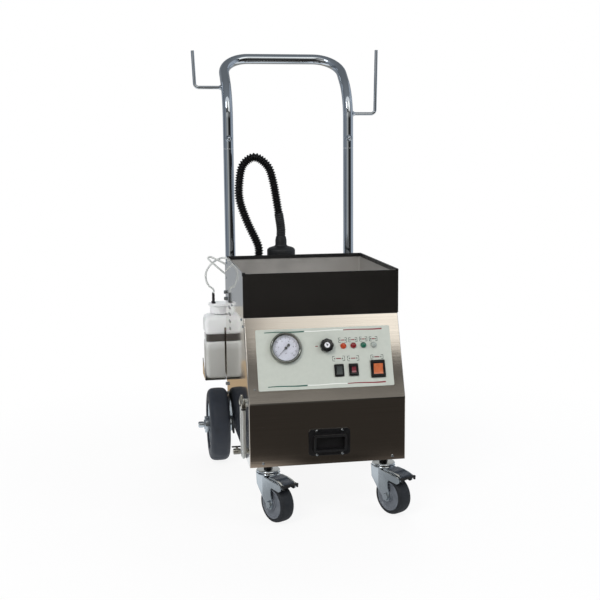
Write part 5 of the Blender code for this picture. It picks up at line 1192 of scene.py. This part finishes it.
# The bottle stands on a shelf of 2 mm stainless sheet with two side gussets that rise to the
# back. A spine and two arms carry it from a saddle plate on the left leg, and a dark spring
# band in a groove grips the bottle.
shelf_half, shelf_foot, shelf_front, shelf_back = 0.0463, 0.0627, -0.0398, 0.0375
gusset_low, gusset_high = 0.0665, 0.1070
shelf = block((-shelf_half, shelf_front, shelf_foot), (shelf_half, shelf_back, gusset_high))
shelf.normal_update()
bmesh.ops.delete(shelf,
    geom=[face for face in shelf.faces if abs(face.calc_center_median().z - gusset_high) < 1e-5
    or abs(face.normal.y) > 0.5], context="FACES_ONLY")
for vert in shelf.verts:
    if vert.co.z > 0.09 and vert.co.y < 0:
        vert.co.z = gusset_low
soften(shelf, 0.0018, 3)
bmesh.ops.recalc_face_normals(shelf, faces=shelf.faces[:])
bottom = min(shelf.faces, key=lambda face: face.calc_center_median().z)
if bottom.normal.z > 0:
    bmesh.ops.reverse_faces(shelf, faces=shelf.faces[:])
bmesh.ops.solidify(shelf, geom=shelf.faces[:], thickness=0.0018)
put("bottle_shelf", shelf, steel_across, place=bottle_at, replaces=["bottle_bracket"])
saddle_y = leg_y + handle_radius + 0.0003
spine_front = bottle_y - 0.0418
frame_bars = block((-leg_x - 0.014, spine_front, 0.0650), (-leg_x + 0.014, spine_front + 0.0020, 0.200))
block((-leg_x - 0.014, saddle_y, 0.070), (-leg_x + 0.014, saddle_y + 0.002, 0.200), frame_bars)
for z in (0.080, 0.190):
    block((-leg_x - 0.012, saddle_y + 0.001, z - 0.0015), (-leg_x + 0.012, spine_front + 0.001, z
        + 0.0015), frame_bars)
put("bottle_bracket_frame", soften(frame_bars, 0.0005), steel_across)
for index, z in enumerate((0.095, 0.175)):
    put(f"saddle_screw_{index}", socket_screw(0.0040), zinc,
        place=at(-leg_x, saddle_y + 0.002, z) @ quarter("X", -1))
strap_inset = 0.0040
strap = plate(bottle_width - 2 * strap_inset, bottle_depth - 2 * strap_inset, 0.163, 0.182, 0.009, 8)
bmesh.ops.delete(strap, geom=[face for face in strap.faces if len(face.verts) > 4
    or face.calc_center_median().x < 0.001 - bottle_width / 2 + strap_inset], context="FACES_ONLY")
bmesh.ops.solidify(strap, geom=strap.faces[:], thickness=-0.0014)
spring_band = grained("browned spring steel", "black_steel", "#4a4643", "#6c6865", 0.0020, 0.30,
    0.42, 0.06, Metallic=0.5)
put("bottle_strap", soften(strap, 0.0003, 2, 60), spring_band, place=bottle_at)

# The drain hose is stainless braid over a rubber core, 8 mm across, looped down the left side
# from two conical unions. Beside it is a nickel plated drain tap with a small black lever.
drain_x, drain_front, drain_rear = -0.1745, 0.015, 0.050
drain_wall, drain_top, drain_low = -0.1595, 0.131, 0.0155
tap_y, tap_z = 0.0625, 0.018
drain_line = [cabinet @ point for point in bent_line([(drain_wall, drain_front, drain_top),
    (drain_x, drain_front, drain_top), (drain_x, drain_front, drain_low),
    (drain_x, drain_rear, drain_low), (drain_x, drain_rear, drain_top),
    (drain_wall, drain_rear, drain_top)], [0.0087, 0.017, 0.017, 0.0087], 8)]
braid, tree = blank("braided stainless wire", "steel_braid")
place = add(tree, "TexCoord").outputs["Object"]
strands = []
for turn in (35, -35):
    # One strand every 1.6 mm, in both windings, drawn as coarse as it needs to show
    wound = add(tree, "Mapping", {"Vector": place, "Rotation": (math.radians(turn), 0, 0)}).outputs[0]
    strands.append(add(tree, "TexWave", {"Vector": wound, "Scale": 200}, bands_direction="Z").outputs[1])
weave = add(tree, "Math", {0: strands[0], 1: strands[1]}, operation="MAXIMUM").outputs[0]
tone = add(tree, "Mix", {0: weave, 6: srgb("#858681"), 7: srgb("#f0f1ec")}, data_type="RGBA")
relief = add(tree, "Bump", {"Height": weave, "Strength": 0.5, "Distance": 0.0004})
shader = add(tree, "BsdfPrincipled", {"Base Color": tone.outputs[2], "Metallic": 0.85,
    "Roughness": 0.34, "Normal": relief.outputs[0]})
add(tree, "OutputMaterial", {"Surface": shader.outputs[0]})
put("drain_hose_braid", bent_rod(drain_line, 0.004, 20), braid, place=Matrix(),
    replaces=["drain_hose"])
nickel = grained("nickel plated brass", "brass", "#9c9a92", "#c8c5ba", 0.0020, 0.14, 0.26, 0.03,
    Metallic=1)
for name, y in (("front", drain_front), ("rear", drain_rear)):
    put(f"drain_union_{name}", turned([(0, -0.0080), (0.0050, -0.0080), (0.0056, -0.0072),
        (0.0056, 0.0010), (0.0046, 0.0050), (0.0030, 0.0100), (0.0014, 0.0124), (0, 0.0128)], 28),
        nickel, place=at(drain_x, y, drain_top))
    put(f"drain_tie_{name}", soften(turned([(0.0036, 0.1195), (0.0051, 0.1195), (0.0051, 0.1235),
        (0.0036, 0.1235), (0.0036, 0.1195)], 28), 0.0004), pvc, place=at(drain_x, y, 0))
at_tap = at(-half_width, tap_y, tap_z)
tap = turned([(0, -0.003), (0.0050, -0.003), (0.0050, 0.0003), (0.0064, 0.0003), (0.0065, 0.0060),
    (0.0058, 0.0072), (0.0058, 0.0136), (0.0065, 0.0146), (0.0065, 0.0262), (0.0058, 0.0274),
    (0.0044, 0.0280), (0.0034, 0.0280), (0.0034, 0.0200), (0, 0.0200)], 28)
put("drain_tap", tap, nickel, place=at_tap @ quarter("Y", -1), replaces=["drain_valve_body"])
at_stem = at(-0.185, tap_y, tap_z)
put("tap_stem", disc(0.0028, 0.004, 0.0090, 20), nickel, place=at_stem)
lever = soften(plate(0.022, 0.005, 0.0093, 0.0116, 0.0023, 5), 0.0004)
put("tap_lever", lever, nylon, body="drain_lever", place=at_stem, replaces=["drain_valve_lever"])

# Inside the cabinet and under it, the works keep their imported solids: a stainless boiler with
# its flanged heater, a milky tank, a black pump, the brass steam valve, the base and the axle's
# channel.
for node, material in (("base_plate", steel_across), ("boiler", steel_across),
        ("boiler_heater", zinc), ("water_tank", tube_plastic), ("water_pump", steel_black),
        ("steam_valve", brass), ("axle_carrier", steel_black)):
    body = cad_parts[node].data
    body.materials.clear()
    body.materials.append(material)
